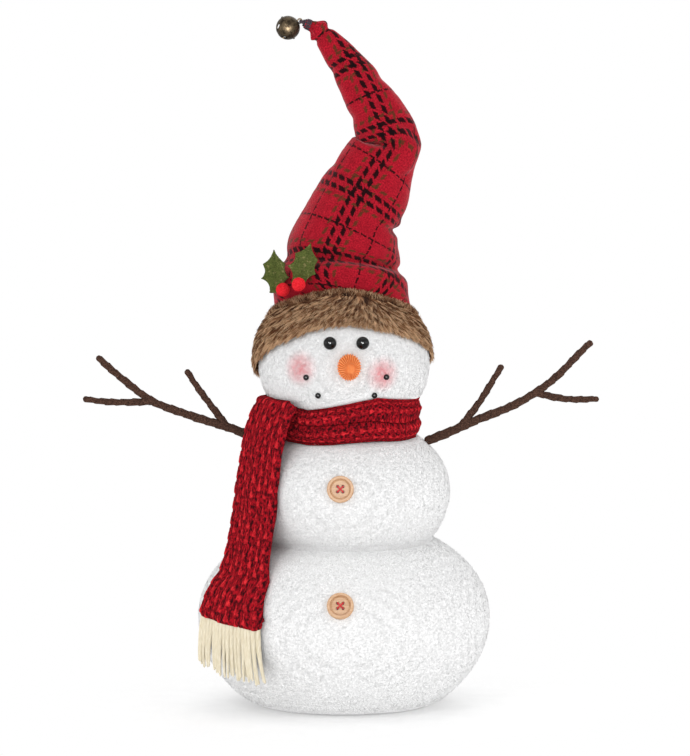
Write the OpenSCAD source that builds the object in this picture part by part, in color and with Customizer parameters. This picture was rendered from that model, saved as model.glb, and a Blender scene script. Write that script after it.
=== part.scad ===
// Stuffed snowman with a bent plaid hat, a knit scarf and wired twig arms.
// It stands on the floor at Z = 0 and faces -Y. Left and right are as seen from the front.

/* [Lower ball] */
// Radius at the widest girth of the lower ball
lower_r = 109.5; // [92:0.5:132]
// Height of that girth above the floor
lower_mid_z = 66; // [55:1:80]
// Radius of the flat base
base_r = 68; // [56:1:82]
// Height of the waist crease
waist_z = 125; // [104:1:150]
// Radius of the waist crease
waist_r = 65; // [54:1:76]

/* [Upper ball] */
// Radius at the widest girth of the upper ball
upper_r = 79.5; // [78:0.5:96]
// Height of that girth above the waist
upper_rise = 36; // [30:1:44]
// Height of the neck above that girth
neck_rise = 50; // [42:1:60]
// Radius of the neck
neck_r = 36; // [30:1:44]

/* [Head] */
// Radius at the widest girth of the head
head_r = 64; // [54:0.5:77]
// Height of that girth above the neck
head_rise = 46; // [38:1:56]
// Height of the crown of the head above that girth
head_crown = 60; // [50:1:72]

/* [Fleece and filling] */
// Thickness of the fleece
skin_t = 2.5; // [2:0.1:3]
// Width of the seam allowance turned in at each crease
seam_w = 6; // [5:0.5:8]
// Thickness of the board in the base
board_t = 3; // [2:0.5:4]
// Radius of the weight bag
bag_r = 46; // [38:1:55]
// Height of the weight bag
bag_h = 24; // [20:1:29]

/* [Face] */
// Turn of the face to the right, in degrees
face_turn = 1.7; // [-8:0.1:8]
// Diameter of the eye beads
eye_d = 9.8; // [8:0.1:12]
// Distance between the eyes
eye_gap = 24; // [20:0.5:30]
// Height of the eyes above the head's girth
eye_rise = 22; // [18:0.5:26]
// Diameter of the nose at its root
nose_d = 17.8; // [14.5:0.1:21.5]
// Height of the nose at its root over its width
nose_tall = 1.14; // [1:0.02:1.2]
// Length of the nose
nose_l = 20; // [16:0.5:25]
// Number of ribs round the nose
nose_ribs = 28; // [20:1:34]
// Droop of the nose below level, in degrees
nose_droop = -2; // [-8:1:8]
// Turn of the nose to the right, in degrees
nose_turn = 3.4; // [-8:0.1:8]
// Height of the nose above the head's girth
nose_rise = 5; // [2:0.5:8]
// Diameter of the mouth beads
mouth_d = 4.4; // [3.5:0.1:5.3]
// Sideways distance of the upper mouth beads from the nose
mouth_out = 29.8; // [25:0.2:35]
// Sideways distance of the lower mouth beads from the nose
mouth_in = 20.9; // [17:0.1:24]
// Drop of the upper mouth beads below the head's girth
mouth_high = 3.5; // [2:0.5:6]
// Drop of the lower mouth beads below the head's girth
mouth_low = 17; // [14:0.5:17]

/* [Buttons] */
// Diameter of the buttons
button_d = 20; // [16:0.5:24]
// Thickness of the buttons at the rim
button_t = 4; // [3.2:0.1:4.8]
// Width of the raised rim
button_rim = 2.6; // [2:0.1:3.2]
// Distance between neighbouring thread holes
hole_pitch = 4.1; // [3.4:0.1:5]
// Diameter of the thread holes
hole_d = 2.4; // [2:0.1:2.8]
// Diameter of the sewing thread
thread_d = 1.1; // [0.9:0.1:1.3]
// Height of the upper button above the upper girth
button_up = 11; // [6:1:16]
// Height of the lower button above the lower girth
button_low = 22; // [16:1:28]
// Sideways place of the buttons
button_x = -2.7; // [-6:0.1:6]

/* [Scarf] */
// Height of the folded wrap round the neck
wrap_h = 29; // [25:0.5:30]
// Thickness of the folded wrap
wrap_t = 9; // [7.5:0.5:11]
// Drop of the wrap's lower edge below the neck
wrap_drop = 8; // [7:0.5:9.5]
// Width of the hanging tail at its lower edge
tail_w = 74; // [62:1:78]
// Width of the hanging tail where it leaves the wrap
tail_top_w = 53; // [44:1:56]
// Thickness of the hanging tail
tail_t = 4; // [3.2:0.1:5]
// Direction of the tail round the body, in degrees left of the front
tail_az = 52; // [45:1:56]
// Further turn of the tail to the left where it leaves the wrap, in degrees
tail_swing = 7; // [0:1:8]
// Height of the tail's lower edge above the floor
tail_z = 69; // [60:1:82]
// Number of fringe strands
fringe_n = 20; // [14:1:22]
// Length of the fringe
fringe_l = 40; // [32:1:48]
// Diameter of a fringe strand
strand_d = 2.6; // [2.1:0.1:2.9]

/* [Hat] */
// Radius of the hat at its lower edge
hat_r = 53; // [46:0.5:58]
// Radius of the hat at the kink
kink_r = 25; // [21:0.5:30]
// Sideways place of the kink
kink_x = 34; // [28:1:40]
// Height of the kink above the head's girth
kink_rise = 163; // [150:1:190]
// Sideways reach of the tip from the kink, to the left
tip_reach = 58; // [48:1:69]
// Height of the tip above the kink
tip_rise = 88; // [74:1:105]
// Radius of the gathered tip under its binding
gather_r = 3.4; // [2.8:0.1:4]
// Depth of the main folds
fold_d = 3.5; // [2:0.1:4.5]
// Thickness of the fur band
fur_t = 5.2; // [4.5:0.1:6.2]
// Diameter of the wires in the hat
hat_wire_d = 2.6; // [2.2:0.1:3.1]

/* [Holly] */
// Length of the holly leaves
leaf_l = 33; // [27:1:40]
// Width of the holly leaves
leaf_w = 24; // [20:1:28]
// Thickness of the felt
felt_t = 1.6; // [1.3:0.1:2]
// Diameter of the berries
berry_d = 10.5; // [8.5:0.1:12.5]

/* [Bell] */
// Diameter of the bell
bell_d = 18; // [15:0.5:21.5]
// Thickness of the bell's metal
bell_t = 0.7; // [0.6:0.05:0.9]
// Width of the bell's slots
slot_w = 1.6; // [1.3:0.1:2]
// Diameter of the holes at the slots' ends
slot_hole_d = 3.2; // [2.6:0.1:3.8]
// Diameter of the loose pea
pea_d = 4.6; // [3.8:0.1:5.5]
// Dip of the bell below level, in degrees
bell_dip = 30; // [15:1:45]
// Number of turns of the binding thread
bind_turns = 2; // [1.5:0.5:3]
// Diameter of the binding thread
bind_d = 1.1; // [0.9:0.05:1.2]

/* [Arms] */
// Diameter of the main stem at the shoulder
stem_d = 7.1; // [6:0.1:8.5]
// Diameter of the stem at its tip
stem_tip_d = 5; // [4.2:0.1:6]
// Diameter of the side twigs
twig_d = 5.4; // [4.5:0.1:6]
// Diameter of the wire cores
core_d = 2.2; // [1.8:0.1:2.6]
// Height of the shoulders above the upper girth
shoulder_rise = 35; // [30:1:38]

/* [Clearances] */
// Gap between soft pieces sewn or pressed together
seat_gap = 0.3; // [0.2:0.05:0.4]
// Gap over the faceted seats of the hat, fur and scarf
drape_gap = 0.7; // [0.6:0.05:0.9]
// Gap between a wire and the hole that it runs in
wire_gap = 0.2; // [0.15:0.05:0.3]

/* [Hidden] */
$fn = 96;

fleece_white = "whitesmoke";
filling_white = "ivory";
plaid_red = "firebrick";
knit_red = "crimson";
twig_brown = "#4a3026";
wire_grey = "silver";
bell_bronze = "#5a4a32";
wood_tan = "#e0b98a";
thread_red = "red";
thread_dark = "#3a2630";
felt_green = "#4f6f33";

// Heights of the creases and girths
upper_mid_z = waist_z + upper_rise;
neck_z = upper_mid_z + neck_rise;
head_mid_z = neck_z + head_rise;

// A ball is [bottom z, bottom radius, girth z, girth radius, top z, top radius]
LOWER = [0, base_r, lower_mid_z, lower_r, waist_z, waist_r];
UPPER = [waist_z, waist_r, upper_mid_z, upper_r, neck_z, neck_r];
HEAD = [neck_z, neck_r, head_mid_z, head_r, head_mid_z + head_crown, 0];
curve_steps = 12;

function unit(v) = v / norm(v);
function mix(a, b, t) = a + (b - a) * t;
function smooth(t) = let (u = min(1, max(0, t))) u * u * (3 - 2 * u);
function bump(x) = exp(-x * x);
function mean(points) = [for (k = [0:2]) sum([for (p = points) p[k]]) / len(points)];
function sum(list, i = 0) = i == len(list) ? 0 : list[i] + sum(list, i + 1);
function flip(list) = [for (i = [len(list) - 1:-1:0]) list[i]];

// Half height of the ellipse that runs from the girth to an end radius over this rise
function half_height(rise, end_r, mid_r) = rise / sqrt(1 - pow(end_r / mid_r, 2));
function low_half(b) = half_height(b[2] - b[0], b[1], b[3]);
function high_half(b) = half_height(b[4] - b[2], b[5], b[3]);
function half_at(b, z) = z < b[2] ? low_half(b) : high_half(b);
function ball_r(b, z) = b[3] * sqrt(max(0, 1 - pow((z - b[2]) / half_at(b, z), 2)));
function inset(b, d) = [b[0] + d, b[1] - d, b[2], b[3] - d, b[4] - d, max(0, b[5] - d)];
function girth_curve(b) = concat(
    [for (i = [0:curve_steps]) let (t = -acos(b[1] / b[3]) * (1 - i / curve_steps))
        [b[3] * cos(t), b[2] + low_half(b) * sin(t)]],
    [for (i = [1:curve_steps]) let (t = acos(b[5] / b[3]) * i / curve_steps)
        [b[3] * cos(t), b[2] + high_half(b) * sin(t)]]);

// Places on a ball: az is the angle to the right of the front
function ball_point(b, az, z) = [ball_r(b, z) * sin(az), -ball_r(b, z) * cos(az), z];
function ball_lean(b, z) = atan2((z - b[2]) / pow(half_at(b, z), 2), ball_r(b, z) / pow(b[3], 2));
module on_ball(b, az, z) {
    translate(ball_point(b, az, z)) rotate([90 - ball_lean(b, z), 0, az]) children();
}

// Rings of points, joined into a closed skin of triangles
function side_axis(t) = unit([0, 1, 0] - t[1] * t);
function ring(c, t, r, n) = let (e = side_axis(t), s = cross(e, t))
    [for (i = [0:n - 1]) let (a = 360 * i / n) c + r * (sin(a) * s - cos(a) * e)];
module loft(rings, closed = false) {
    n = len(rings[0]);
    m = len(rings);
    last = closed ? m - 1 : m - 2;
    ends = closed ? [] : [mean(rings[0]), mean(rings[m - 1])];
    walls = [for (k = [0:last], i = [0:n - 1])
        let (a = k * n, b = ((k + 1) % m) * n, j = (i + 1) % n)
        each [[a + i, b + i, b + j], [a + i, b + j, a + j]]];
    caps = closed ? [] : [for (i = [0:n - 1]) let (j = (i + 1) % n, top = (m - 1) * n)
        each [[m * n, i, j], [m * n + 1, top + j, top + i]]];
    polyhedron(concat([for (r = rings) each r], ends), concat(walls, caps), convexity = 8);
}
module rod(a, b, r) {
    v = b - a;
    translate(a) rotate([0, acos(v[2] / norm(v)), atan2(v[1], v[0])]) cylinder(h = norm(v), r = r);
}

// Balls: fleece skins with turned-in seams, and the filling inside them
module ball_skin(b, open_top) {
    outer = girth_curve(b);
    inner = girth_curve(inset(b, skin_t));
    low_hole = b[1] - seam_w;
    high_hole = b[5] - seam_w;
    top = open_top ? [[high_hole, b[4]], [high_hole, b[4] - skin_t]] : [];
    bottom = [[low_hole, b[0] + skin_t], [low_hole, b[0]]];
    rotate_extrude() polygon(concat(outer, top, flip(inner), bottom));
}
module ball_filling(b, floor_z, open_top) {
    core = inset(b, skin_t + seat_gap);
    low_hole = b[1] - seam_w - seat_gap;
    high_hole = b[5] - seam_w - seat_gap;
    top = open_top ? [[high_hole, core[4]], [high_hole, b[4]], [0, b[4]]] : [];
    bottom = floor_z > b[0] ? [[0, core[0]]] : [[0, b[0]], [low_hole, b[0]], [low_hole, core[0]]];
    difference() {
        rotate_extrude() polygon(concat(girth_curve(core), top, bottom));
        if (floor_z > b[0]) cylinder(h = floor_z, r = b[3]);
    }
}

module base_panel() {
    color(fleece_white) cylinder(h = skin_t, r = base_r - seam_w - seat_gap);
}
module base_board() {
    board_r = ball_r(inset(LOWER, skin_t), skin_t) - 2 * seat_gap;
    color("tan") translate([0, 0, skin_t]) cylinder(h = board_t, r = board_r);
}
bag_z = skin_t + board_t;
module bag_shape(grow) {
    rise = bag_h / 2 + grow;
    translate([0, 0, bag_z + bag_h / 2]) rotate_extrude() {
        intersection() {
            union() {
                translate([0, -rise]) square([bag_r - bag_h / 2, 2 * rise]);
                translate([bag_r - bag_h / 2, 0]) circle(rise);
            }
            translate([0, -rise]) square([bag_r + 2 * rise, 2 * rise]);
        }
    }
}
module weight_bag() {
    color("lightgrey") bag_shape(0);
}
module lower_skin() {
    color(fleece_white) difference() {
        ball_skin(LOWER, true);
        lower_button_place() button_pocket();
    }
}
module lower_stuffing() {
    color(filling_white) difference() {
        ball_filling(LOWER, bag_z + seat_gap, true);
        bag_shape(seat_gap);
    }
}
module upper_skin() {
    color(fleece_white) difference() {
        ball_skin(UPPER, true);
        upper_button_place() button_pocket();
        for (side = [-1, 1]) translate(shoulder(side)) sphere(stem_d / 2 + seat_gap);
        shoulder_hole();
    }
}
module upper_stuffing() {
    color(filling_white) difference() {
        ball_filling(UPPER, 0, true);
        shoulder_hole();
    }
}
module head_skin() {
    color(fleece_white) difference() {
        ball_skin(HEAD, false);
        eye_pockets();
        nose_pocket();
        mouth_shapes(seat_gap);
        hat_wire_hole();
    }
}
module head_stuffing() {
    color(filling_white) difference() {
        ball_filling(HEAD, 0, false);
        eye_pockets();
        nose_pocket();
        hat_wire_hole();
    }
}

// Buttons
button_sink = 1;
rim_h = 1.2;
dish_t = button_t - rim_h;
module upper_button_place() {
    z = upper_mid_z + button_up;
    on_ball(UPPER, asin(button_x / ball_r(UPPER, z)), z) translate([0, 0, -button_sink]) children();
}
module lower_button_place() {
    z = lower_mid_z + button_low;
    on_ball(LOWER, asin(button_x / ball_r(LOWER, z)), z) translate([0, 0, -button_sink]) children();
}
module button_pocket() {
    translate([0, 0, -seat_gap]) cylinder(h = button_t, r = button_d / 2 + seat_gap);
}
module button() {
    edge = 0.6;
    rim_in = button_d / 2 - button_rim;
    groove = 0.5;
    color(wood_tan) difference() {
        rotate_extrude() polygon([[0, 0], [button_d / 2 - edge, 0], [button_d / 2, edge],
            [button_d / 2, button_t - edge], [button_d / 2 - edge, button_t], [rim_in + edge, button_t],
            [rim_in, dish_t - groove], [rim_in - 2 * groove, dish_t], [0, dish_t]]);
        for (a = [45:90:315]) rotate(a) translate([hole_pitch / sqrt(2), 0, -1])
            cylinder(h = button_t, d = hole_d);
    }
}
module button_thread() {
    reach = hole_pitch / sqrt(2);
    bar_z = dish_t + thread_d / 2 + wire_gap;
    color(thread_red) {
        for (a = [45:90:315]) rotate(a) translate([reach, 0, 0]) {
            cylinder(h = bar_z, d = thread_d);
            translate([0, 0, bar_z]) sphere(d = thread_d);
        }
        for (a = [45, 135]) rotate(a) translate([-reach, 0, bar_z]) rotate([0, 90, 0])
            cylinder(h = 2 * reach, d = thread_d);
    }
}
module lower_button() { lower_button_place() button(); }
module lower_button_thread() { lower_button_place() button_thread(); }
module upper_button() { upper_button_place() button(); }
module upper_button_thread() { upper_button_place() button_thread(); }

// Face
eye_out = 1.2;
shank_d = 2.4;
shank_l = 8;
module eye_place(side) {
    z = head_mid_z + eye_rise;
    az = face_turn + side * asin(eye_gap / 2 / ball_r(HEAD, z));
    on_ball(HEAD, az, z) translate([0, 0, eye_out]) children();
}
module eye_shape(grow) {
    sphere(eye_d / 2 + grow);
    translate([0, 0, -shank_l - grow]) cylinder(h = shank_l, d = shank_d + 2 * grow);
}
module eye_pockets() {
    for (side = [-1, 1]) eye_place(side) eye_shape(seat_gap);
}
module left_eye() { color("black") eye_place(-1) eye_shape(0); }
module right_eye() { color("black") eye_place(1) eye_shape(0); }

nose_sink = 1.5;
module nose_place() {
    z = head_mid_z + nose_rise;
    translate(ball_point(HEAD, nose_turn, z)) rotate([90 + nose_droop, 0, nose_turn])
        translate([0, 0, -nose_sink]) children();
}
module nose_pocket() {
    nose_place() scale([1, nose_tall, 1]) cylinder(h = nose_l, r = nose_d / 2 + seat_gap);
}
module nose() {
    rib_d = 0.5;
    points_per_rib = 2;
    sides = nose_ribs * points_per_rib;
    // Profile of a blunt carrot: share of the length, share of the root radius
    profile = [[0, 0.97], [0.1, 1], [0.3, 0.93], [0.5, 0.82], [0.7, 0.66], [0.85, 0.49], [0.95, 0.31],
        [1, 0.12]];
    color("darkorange") nose_place() loft([for (p = profile)
        [for (i = [0:sides - 1]) let (a = 360 * i / sides, dip = i % points_per_rib == 0 ? 0 : rib_d * p[1],
            r = p[1] * nose_d / 2 - dip)
            [r * sin(a), -r * cos(a) * nose_tall, seat_gap + p[0] * nose_l]]]);
}
bead_out = 0.4;
module mouth_shapes(grow) {
    for (side = [-1, 1], p = [[mouth_out, mouth_high], [mouth_in, mouth_low]]) {
        z = head_mid_z - p[1];
        az = face_turn + side * asin(p[0] / ball_r(HEAD, z));
        on_ball(HEAD, az, z) translate([0, 0, bead_out]) sphere(mouth_d / 2 + grow);
    }
}
module mouth_beads() { color("black") mouth_shapes(0); }

// Scarf: a folded wrap with two rolls, and a tail that lies on the balls below it
wrap_z = neck_z - wrap_drop;
wrap_steps = 24;
wrap_bulge = 1.5;
wrap_r = max(ball_r(HEAD, wrap_z + wrap_h), ball_r(UPPER, wrap_z)) + drape_gap + 0.4;
function neck_support(z) = z < neck_z ? ball_r(UPPER, z) : ball_r(HEAD, z);
function wrap_out(z) = wrap_r + wrap_bulge * pow(abs(sin(360 * (z - wrap_z) / wrap_h)), 0.6);
function wrap_in(z) = max(neck_support(z) + seat_gap, wrap_out(z) - wrap_t);
module scarf_wrap() {
    heights = [for (i = [0:wrap_steps]) wrap_z + wrap_h * i / wrap_steps];
    color(knit_red) rotate_extrude() polygon(concat([for (z = heights) [wrap_out(z), z]],
        [for (z = flip(heights)) [wrap_in(z), z]]));
}

tail_tuck = 1.5;
tail_top_z = wrap_z + wrap_h - tail_tuck;
tail_steps = 26;
tail_cols = 12;
tail_folds = 2.5;
tail_fold_d = 1.6;
tail_swell = 4;
tail_sag = 4;
// The tail comes over the wrap, swells past it to the upper girth, and falls from there to the lower girth
function tail_over(u) = mix(upper_r, wrap_r + wrap_bulge, u) + tail_swell * 1.87 * u * (1 - pow(u, 4));
function tail_fall(u) = mix(lower_r, upper_r, u) - tail_sag * sin(180 * u);
function tail_support(z) = z > upper_mid_z
    ? max(tail_over((z - upper_mid_z) / (tail_top_z - upper_mid_z)), ball_r(UPPER, z))
    : max(tail_fall(max(0, (z - lower_mid_z) / (upper_mid_z - lower_mid_z))),
        z > waist_z ? ball_r(UPPER, z) : ball_r(LOWER, z));
function tail_in(z, s) = tail_support(z) + drape_gap + tail_fold_d * (1 + sin(360 * tail_folds * s)) / 2;
function tail_up(z) = (z - tail_z) / (tail_top_z - tail_z);
function tail_turn(z) = -tail_az - tail_swing * tail_up(z);
function tail_wide(z) = mix(tail_w, tail_top_w, smooth(2.7 * tail_up(z)));
function tail_spread(z) = tail_wide(z) / tail_support(z) * 180 / PI;
function tail_point(z, s, out) = let (r = tail_in(z, s) + out, az = tail_turn(z) + tail_spread(z) * (s - 0.5))
    [r * sin(az), -r * cos(az), z];
module scarf_tail() {
    columns = [for (i = [0:tail_cols]) i / tail_cols];
    color(knit_red) loft([for (k = [0:tail_steps]) let (z = mix(tail_z, tail_top_z, k / tail_steps))
        concat([for (s = columns) tail_point(z, s, tail_t)], [for (s = flip(columns)) tail_point(z, s, 0)])]);
}
fringe_sides = 6;
fringe_rings = 5;
module scarf_fringe() {
    sway = 3;
    color("cornsilk") for (i = [0:fringe_n - 1]) {
        s = (i + 0.5) / fringe_n;
        top = tail_point(tail_z, s, tail_t / 2) - [0, 0, seat_gap];
        az = tail_turn(tail_z) + tail_spread(tail_z) * (s - 0.5);
        away = [sin(az), -cos(az), 0];
        length = fringe_l * (1 + 0.06 * sin(137.5 * i));
        loft([for (k = [0:fringe_rings - 1]) let (u = 1 - k / (fringe_rings - 1))
            ring(top - [0, 0, length * u] + away * sway * sin(90 * u) * (0.3 + 0.7 * pow(1 - s, 2)),
                [0, 0, 1], strand_d / 2 * (1 - 0.2 * u), fringe_sides)]);
    }
}

// Hat seat on the head: elevation of an edge at the front, the sides and the back
fur_low = [32, -1, -11];
fur_top = [63.5, 38, 20];
// Roll of the fur's lower edge: higher on the right
fur_roll = 5;
fur_lean = 0.35;
hat_edge = [65, 39.5, 21.5];
function edge_lift(e, az) = (e[0] + 2 * e[1] + e[2]) / 4 + (e[0] - e[2]) / 2 * cos(az)
    + (e[0] + e[2] - 2 * e[1]) / 4 * cos(2 * az);
function head_dir(az, el) = [cos(el) * sin(az), -cos(el) * cos(az), sin(el)];
function head_reach(u) = 1 / sqrt((u[0] * u[0] + u[1] * u[1]) / pow(head_r, 2)
    + u[2] * u[2] / pow(u[2] < 0 ? low_half(HEAD) : high_half(HEAD), 2));
head_c = [0, 0, head_mid_z];
function on_head(u, out) = head_c + u * (head_reach(u) + out);

fur_cols = 48;
fur_rows = 8;
// Thickness of the fur at this share of its height: fuller toward the hat and on the left
function fur_pile(az, v) = 1 + (fur_t - 1) * sin(180 * (0.12 + 0.55 * v)) * (1 - fur_lean * sin(az));
function fur_lift(az, v) = mix(edge_lift(fur_low, az) + fur_roll * sin(az), edge_lift(fur_top, az), v);
function fur_point(az, v, out) = on_head(head_dir(az, fur_lift(az, v)), drape_gap + out);
module fur_band() {
    rows = [for (i = [0:fur_rows]) i / fur_rows];
    color("saddlebrown") loft([for (k = [0:fur_cols - 1]) let (az = 360 * k / fur_cols)
        concat([for (v = rows) fur_point(az, v, 0)], [for (v = flip(rows)) fur_point(az, v, fur_pile(az, v))])],
        closed = true);
}

// Hat crown: a stuffed cone from the head to a round cup at the kink
hat_sides = 28;
hat_back = 16;
// Height by which the cloth puffs up above its seam
hat_puff = 5.5;
hat_tilt = atan2(edge_rise(0) - edge_rise(180), edge_far(0) + edge_far(180));
function edge_rise(az) = on_head(head_dir(az, edge_lift(hat_edge, az)), 0)[2];
function edge_far(az) = norm([for (k = [0:1]) on_head(head_dir(az, edge_lift(hat_edge, az)), 0)[k]]);
hat_up = [0, sin(hat_tilt), cos(hat_tilt)];
hat_base = [-1.5, hat_back, (edge_rise(0) + edge_rise(180)) / 2 + hat_puff];
// The kink lies this far behind the middle of the lower edge
kink_back = 11;
kink = [kink_x, hat_back + kink_back, head_mid_z + kink_rise];
// Bow of the crown to the left and back before it leans to the kink, and its share of the height
bow_side = -8.5;
bow_back = 10;
bow_share = 0.36;
hat_bow = hat_base + [bow_side, bow_back, bow_share * (kink[2] - hat_base[2])];
function bow(t) = hat_base * pow(1 - t, 2) + hat_bow * 2 * t * (1 - t) + kink * t * t;
function bow_dir(t) = unit((hat_bow - hat_base) * (1 - t) + (kink - hat_bow) * t);
function hat_axis(t) = unit(mix(hat_up, bow_dir(t), min(1, t / 0.35)));
crown_dir = bow_dir(1);
// Folds: a tuck above the lower edge at the front and right, a dent on the right, soft swells below and above
function crown_fold(t, az) = -fold_d * bump((t - 0.23 + 0.02 * sin(az)) / 0.045) * (0.6 + 0.4 * cos(az - 40))
    - fold_d * bump((t - 0.56) / 0.06) * max(0, cos(az - 95))
    + 0.5 * fold_d * bump((t - 0.1) / 0.08) + 0.9 * fold_d * bump((t - 0.77) / 0.13) * max(0, cos(az - 95));
function crown_r(t) = mix(hat_r, kink_r, t);
crown_stops = [0.04, 0.08, 0.12, 0.16, 0.19, 0.22, 0.25, 0.29, 0.35, 0.42, 0.48, 0.52, 0.56, 0.6, 0.66, 0.73,
    0.8, 0.87, 0.93];
function crown_ring(t) = let (c = bow(t), d = hat_axis(t), e = side_axis(d), s = cross(e, d))
    [for (i = [0:hat_sides - 1]) let (a = 360 * i / hat_sides)
        c + (crown_r(t) + crown_fold(t, a)) * (sin(a) * s - cos(a) * e)];
cup_r = kink_r + drape_gap;
cup_angles = [66, 52, 38, 24, 12];
dish_steps = 8;
function seat_ring(v) = [for (i = [0:hat_sides - 1]) let (a = 360 * i / hat_sides,
    u = unit(mix(wire_dir, head_dir(a, edge_lift(hat_edge, a)), v))) on_head(u, drape_gap)];
// The hat wire runs straight from inside the head to the bottom of the cup
wire_top = kink - crown_dir * (cup_r + drape_gap);
wire_dir = unit(wire_top - head_c);
wire_exit = on_head(wire_dir, drape_gap + 0.4);
hat_bore_r = hat_wire_d / 2 + wire_gap;
lip_h = 2.2;
module hat_crown() {
    edge_a = cup_angles[0];
    lip_r = mix(cup_r * sin(edge_a), crown_r(1), 0.7);
    lip = ring(kink - crown_dir * (cup_r * cos(edge_a) - lip_h), crown_dir, lip_r, hat_sides);
    color(plaid_red) loft(concat(
        [ring(wire_exit, wire_dir, hat_bore_r, hat_sides)],
        [for (k = [1:dish_steps]) seat_ring(k / dish_steps)],
        [for (t = crown_stops) crown_ring(t)],
        [lip],
        [for (a = cup_angles) ring(kink - crown_dir * cup_r * cos(a), crown_dir, cup_r * sin(a), hat_sides)],
        [ring(wire_top, wire_dir, hat_bore_r, hat_sides)]), closed = true);
}
wire_root = 30;
module hat_wire() {
    color(wire_grey) rod(wire_exit - wire_dir * wire_root, wire_top - wire_dir * seat_gap, hat_wire_d / 2);
}
module hat_wire_hole() {
    rod(wire_exit - wire_dir * (wire_root + seat_gap), wire_exit + wire_dir * wire_root, hat_bore_r);
}

// Hat tip: a ball that sits in the crown's cup, a cone that curls to the left and a gathered end
tip_base = [kink[0] - tip_reach, kink[1] - 1, kink[2] + tip_rise];
// Steering points of the curl: up from the kink, and in toward the gathered end
tip_p1 = kink + [-0.16 * tip_reach, 0, 0.36 * tip_rise];
tip_p2 = tip_base + [0.18 * tip_reach, 0, -0.05 * tip_rise];
function curl(t) = kink * pow(1 - t, 3) + tip_p1 * 3 * t * pow(1 - t, 2) + tip_p2 * 3 * t * t * (1 - t)
    + tip_base * t * t * t;
function curl_dir(t) = unit((tip_p1 - kink) * pow(1 - t, 2) + (tip_p2 - tip_p1) * 2 * t * (1 - t)
    + (tip_base - tip_p2) * t * t);
tip_start = curl_dir(0);
tip_dir = curl_dir(1);
// The gathered end is as long as its binding, with a flare that keeps the thread on
bind_gap = 0.5;
bind_pitch = bind_d + bind_gap;
flare = 0.8;
gather_l = bind_turns * bind_pitch + bind_d + 2 * bind_gap + flare;
tip_end = tip_base + tip_dir * gather_l;
function tip_r(t) = mix(mix(kink_r, kink_r * 0.34, t / 0.8), gather_r, smooth((t - 0.86) / 0.12));
function tip_fold(t, az) = -0.5 * fold_d * bump((t - 0.2) / 0.05) * (0.5 + 0.5 * cos(az + 60))
    - 0.4 * fold_d * bump((t - 0.48) / 0.05) * (0.5 + 0.5 * cos(az - 100));
tip_stops = [0, 0.06, 0.12, 0.16, 0.2, 0.24, 0.3, 0.38, 0.44, 0.48, 0.52, 0.6, 0.7, 0.8, 0.86, 0.9, 0.93, 0.96];
function tip_ring(t) = let (d = curl_dir(t), e = side_axis(d), s = cross(e, d))
    [for (i = [0:hat_sides - 1]) let (a = 360 * i / hat_sides)
        curl(t) + (tip_r(t) + tip_fold(t, a)) * (sin(a) * s - cos(a) * e)];
knuckle_angles = [14, 28, 43, 58, 74];
knuckle_bottom = kink - crown_dir * kink_r;
bore_stops = [0.9, 0.75, 0.6, 0.45, 0.3, 0.15];
module hat_tip() {
    color(plaid_red) loft(concat(
        [ring(knuckle_bottom, crown_dir, hat_bore_r, hat_sides)],
        [for (a = knuckle_angles) let (d = unit(mix(crown_dir, tip_start, a / 90)))
            ring(kink - d * kink_r * cos(a), d, kink_r * sin(a), hat_sides)],
        [for (t = tip_stops) tip_ring(t)],
        [ring(tip_base, tip_dir, gather_r, hat_sides)],
        [ring(tip_end - tip_dir * flare, tip_dir, gather_r, hat_sides)],
        [ring(tip_end, tip_dir, gather_r + flare, hat_sides)],
        [ring(tip_end, tip_dir, hat_bore_r, hat_sides)],
        [for (t = bore_stops) ring(curl(t), curl_dir(t), hat_bore_r, hat_sides)],
        [ring(kink, unit(crown_dir + tip_start), hat_bore_r, hat_sides)]), closed = true);
}
module hat_tip_wire() {
    sides = 10;
    color(wire_grey) loft(concat(
        [ring(knuckle_bottom + crown_dir * seat_gap, crown_dir, hat_wire_d / 2, sides)],
        [ring(kink, unit(crown_dir + tip_start), hat_wire_d / 2, sides)],
        [for (t = flip(bore_stops)) ring(curl(t), curl_dir(t), hat_wire_d / 2, sides)],
        [ring(tip_end - tip_dir * seat_gap, tip_dir, hat_wire_d / 2, sides)]));
}

// Holly against the lower edge of the hat
// A spot is [share of the way up the crown, angle to the right of the front, distance off the cloth]
function hat_spot(p) = let (d = hat_axis(p[0]), e = side_axis(d), s = cross(e, d))
    bow(p[0]) + (crown_r(p[0]) + p[2]) * (sin(p[1]) * s - cos(p[1]) * e);
function hat_out(p) = unit(hat_spot(p) - bow(p[0]));
leaf_lobes = 3;
// Half width at each spine, from the stalk to the tip
leaf_spines = [0.45, 1, 0.8, 0];
// Depth of the hollow between spines: a larger number is flatter
leaf_hollows = [0.5, 0.5, 1.1];
module leaf_outline() {
    step = leaf_l / leaf_lobes;
    half = [for (i = [0:leaf_lobes]) [i * step, leaf_spines[i] * leaf_w / 2]];
    difference() {
        polygon(concat(half, [for (i = [leaf_lobes - 1:-1:0]) [half[i][0], -half[i][1]]]));
        for (i = [0:leaf_lobes - 1], side = [-1, 1]) {
            a = half[i];
            b = half[i + 1];
            away = [a[1] - b[1], b[0] - a[0]];
            p = (a + b) / 2 + away * leaf_hollows[i];
            translate([p[0], side * p[1]]) circle(norm(p - a) * 0.999);
        }
    }
}
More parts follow.
